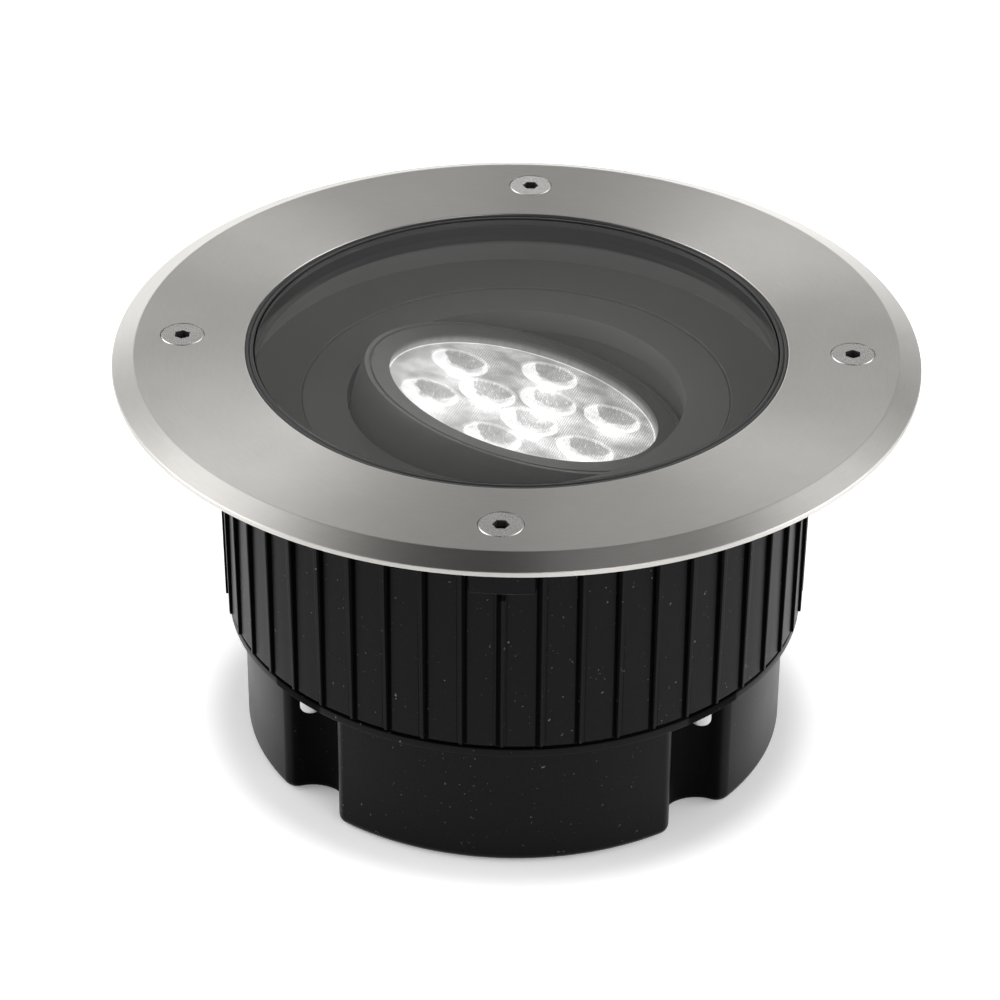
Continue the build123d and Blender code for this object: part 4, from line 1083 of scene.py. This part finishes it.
# ================================================================ base: lobed case
def lobed_outline(bm):
    """Closed outline of the foot: four lobes with a rounded notch between each pair."""
    lobe, notch, corner = lobe_foot_radius, notch_radius, notch_round
    middle_x = ((lobe - corner) ** 2 - (notch + corner) ** 2 + screw_ring ** 2) / (2 * screw_ring)
    middle_y = math.sqrt((lobe - corner) ** 2 - middle_x ** 2)
    lobe_start = math.atan2(middle_y, middle_x)
    lobe_sweep = math.pi / 2 - 2 * lobe_start
    notch_half = math.atan2(middle_y, screw_ring - middle_x)
    corner_sweep = lobe_start + notch_half
    for quarter in range(4):
        turn = Matrix.Rotation(quarter * math.pi / 2 + math.pi / 4, 3, "Z")
        point = bm.verts.new(turn @ Vector((lobe * math.cos(lobe_start), lobe * math.sin(lobe_start), 0)))
        after = Matrix.Rotation(math.pi / 2, 3, "Z") @ turn
        point = curved(bm, point, (0, 0, 0), lobe_sweep, 32)
        point = curved(bm, point, after @ Vector((middle_x, -middle_y, 0)), corner_sweep, 8)
        point = curved(bm, point, after @ Vector((screw_ring, 0, 0)), -2 * notch_half, 16)
        curved(bm, point, after @ Vector((middle_x, middle_y, 0)), corner_sweep, 8)
    bmesh.ops.remove_doubles(bm, verts=bm.verts, dist=TOUCHING)


def gland_boss():
    """Round boss on the back lobe that the cable gland is screwed into, about its own axis."""
    radius, chamfer = 15.0 * MM, 0.4 * MM
    face = low("gland_washer")[1]
    root = face - 20 * MM
    return turned(
        [(0, root), (radius, root), (radius, face - chamfer), (radius - chamfer, face), (0, face)],
        SMALL_STEPS, closed=False,
    )


def base_form():
    """The lobed case's outside as a closed block, with its flange and the gland's boss. It isn't hollow."""
    outside = bmesh.new()
    lobed_outline(outside)
    foot = list(outside.edges)
    capped(outside, foot)
    top = drawn(outside, foot, lobe_top_radius / lobe_foot_radius, base_flange_low)
    capped(outside, top)
    bmesh.ops.recalc_face_normals(outside, faces=outside.faces)
    foot_edges = [edge for edge in outside.edges if max(vert.co.z for vert in edge.verts) < TOUCHING]
    soften(outside, 2.5 * MM, 5, foot_edges)
    flange = turned([
        (0, base_flange_low), (base_flange_radius, base_flange_low),
        (base_flange_radius, base_top), (0, base_top),
    ], closed=False)
    soften(flange, 0.4 * MM)
    gland_place = Matrix.Translation((0, 0, gland_height)) @ Matrix.Rotation(-math.pi / 2, 4, "X")
    return joined([outside, flange, moved(gland_boss(), gland_place)])


piece("lobed_base", base_form(), "body", [notched_finish], ["base_housing"])
gasket_line = soft_ring([
    (seal_inner, base_top), (seal_outer, base_top), (seal_outer, sleeve_low), (seal_inner, sleeve_low),
], 0.1 * MM)
piece("flange_seal", gasket_line, "body", [rubber_finish], ["flange_gasket"])


def flange_screw():
    """Screw with a tall domed head that hangs head down from z = 0."""
    head, shank = 2.75 * MM, 1.5 * MM
    head_height, length = 5.2 * MM, 16 * MM
    dome = [
        (1.60 * MM, 0), (2.05 * MM, -0.10 * MM), (2.45 * MM, -0.38 * MM),
        (2.67 * MM, -0.78 * MM), (head, -1.25 * MM),
    ]
    screw = socket_screw(
        [*dome, (head, -head_height), (shank, -head_height), (shank, -length)],
        hex_width=2.5 * MM, socket_depth=1.4 * MM,
    )
    return moved(screw, Matrix.Rotation(math.pi, 4, "X"))


flange_screw_form = shifted(
    round_the_axis(flange_screw, 4, screw_ring, math.pi / 4), 0, 0, low("flange_screws")[2],
)
piece(
    "domed_flange_screws", flange_screw_form, "body", [pale_head_finish, socket_finish],
    ["flange_screws"],
)

# ================================================================ cable gland
for node, name, slot, finish in (
    ("gland_body", "gland_hexagon", "gland_plastic", gland_finish),
    ("gland_cap", "gland_cap_nut", "gland_plastic", gland_finish),
    ("gland_washer", "gland_sealing_ring", "gasket_rubber", rubber_finish),
    ("gland_seal", "gland_inner_seal", "gasket_rubber", rubber_finish),
):
    piece(name, eased(node, 0.35 * MM), "body", [finish], [node])


# ================================================================ floor, world, lights and camera
def floor_white(paint):
    """Pale floor, see-through from below.

    The camera, reflections and what shows through glass see it white, with the object's shadow on it. For
    them it gives off light of its own, less near the base, which deepens the soft shadow there.
    """
    path = paint.node("ShaderNodeLightPath")
    shaded = paint.node("ShaderNodeBsdfDiffuse", None, {"Color": grey(0.80)})["BSDF"]
    x, y, z = paint.parts_of(paint.place())
    dark_radius, open_radius = 77 * MM, 91 * MM
    patch_x, patch_y = x + 1.5 * MM, y + 3 * MM      # its middle is a little left of and before the base's
    open_floor = away_from_line(patch_x, patch_y).step(dark_radius, open_radius)
    lift = paint.node("ShaderNodeEmission", None, {
        "Color": paint.blend(open_floor, grey(0.18), grey(0.56)), "Strength": 1.0,
    })["Emission"]
    bright = paint.node("ShaderNodeBsdfDiffuse", None, {"Color": grey(1.0)})["BSDF"]
    seen = paint.node("ShaderNodeAddShader", None, {0: bright, 1: lift})["Shader"]
    factor = path["Is Camera Ray"].most(path["Is Glossy Ray"]).most(path["Is Transmission Ray"])
    floor = paint.node("ShaderNodeMixShader", None, {0: factor, 1: shaded, 2: seen})["Shader"]
    under = paint.node("ShaderNodeNewGeometry")["Backfacing"]
    gone = paint.node("ShaderNodeBsdfTransparent")["BSDF"]
    return paint.node("ShaderNodeMixShader", None, {0: under, 1: floor, 2: gone})["Shader"]


floor_mesh = bpy.data.meshes.new("floor")
floor_bm = bmesh.new()
bmesh.ops.create_grid(floor_bm, x_segments=1, y_segments=1, size=4.0)
floor_bm.to_mesh(floor_mesh)
floor_bm.free()
floor_mesh.materials.append(finish_named("pale_floor", floor_white))
linked("floor", floor_mesh)

world = bpy.data.worlds.new("studio")
bpy.context.scene.world = world
world.use_nodes = True
studio = Paint(world.node_tree)
sky = studio.node("ShaderNodeTexCoord")["Generated"]


def glow(azimuth, elevation, sharpness, brightness):
    """Light from one part of the studio, strongest in its middle and soft towards its edge."""
    level, rise = math.radians(azimuth), math.radians(elevation)
    middle = Vector((math.cos(rise) * math.cos(level), math.cos(rise) * math.sin(level), math.sin(rise)))
    facing = studio.node("ShaderNodeVectorMath", {"operation": "DOT_PRODUCT"}, [sky, middle])["Value"]
    away = (facing - 1) * sharpness
    return studio.maths("EXPONENT", away) * brightness


sky_rise = studio.parts_of(sky)[2]
# Soft patches of light all round: right, left and behind, and a little from every side below the top.
brightness = (
    glow(0, 5, 12, 4.2) + glow(0, 30, 12, 1.0) + glow(30, 30, 12, 0.9)
    + glow(180, 12, 12, 2.6) + glow(180, 34, 12, 2.0) + glow(150, 30, 12, 1.2)
    + glow(65, 3, 30, 0.7) + glow(90, 4, 34, 4.5) + glow(115, 3, 30, 2.5)
    + 0.13 * (1 - sky_rise.step(0.60, 0.95))
)
# The camera sees a white background.
camera_ray = studio.node("ShaderNodeLightPath")["Is Camera Ray"]
brightness = brightness * (1 - camera_ray) + camera_ray
background = studio.node("ShaderNodeBackground", None, {
    "Color": studio.vector(brightness, brightness, brightness), "Strength": 1.0,
})["Background"]
studio.node("ShaderNodeOutputWorld", None, {"Surface": background})


def softbox(name, place, aim, width, height, power):
    data = bpy.data.lights.new(name, "AREA")
    data.shape = "RECTANGLE"
    data.size = width
    data.size_y = height
    data.energy = power
    box = linked(name, data)
    box.location = place
    box.rotation_euler = (Vector(aim) - Vector(place)).to_track_quat("-Z", "Y").to_euler()


softbox("front_softbox", place=(0.85, -1.47, 1.06), aim=(0, 0, 0.06), width=1.1, height=0.9, power=8.5)

camera_place = (0.0413, -1.0581, 0.7360)
camera_yaw = math.radians(-2.463)
camera_pitch = math.radians(32.214)
camera_roll = math.radians(0.448)
ahead = Vector((
    math.sin(camera_yaw) * math.cos(camera_pitch),
    math.cos(camera_yaw) * math.cos(camera_pitch),
    -math.sin(camera_pitch),
))
level_right = Vector((math.cos(camera_yaw), -math.sin(camera_yaw), 0))
level_up = level_right.cross(ahead)
right = math.cos(camera_roll) * level_right + math.sin(camera_roll) * level_up
up = right.cross(ahead)
lens = bpy.data.cameras.new("camera")
lens.sensor_width = 36.0
lens.lens = 162.11
camera = linked("camera", lens)
camera_turn = Matrix((right, up, -ahead)).transposed().to_4x4()
camera.matrix_world = Matrix.Translation(camera_place) @ camera_turn
bpy.context.scene.camera = camera
bpy.context.scene.view_settings.view_transform = "Standard"
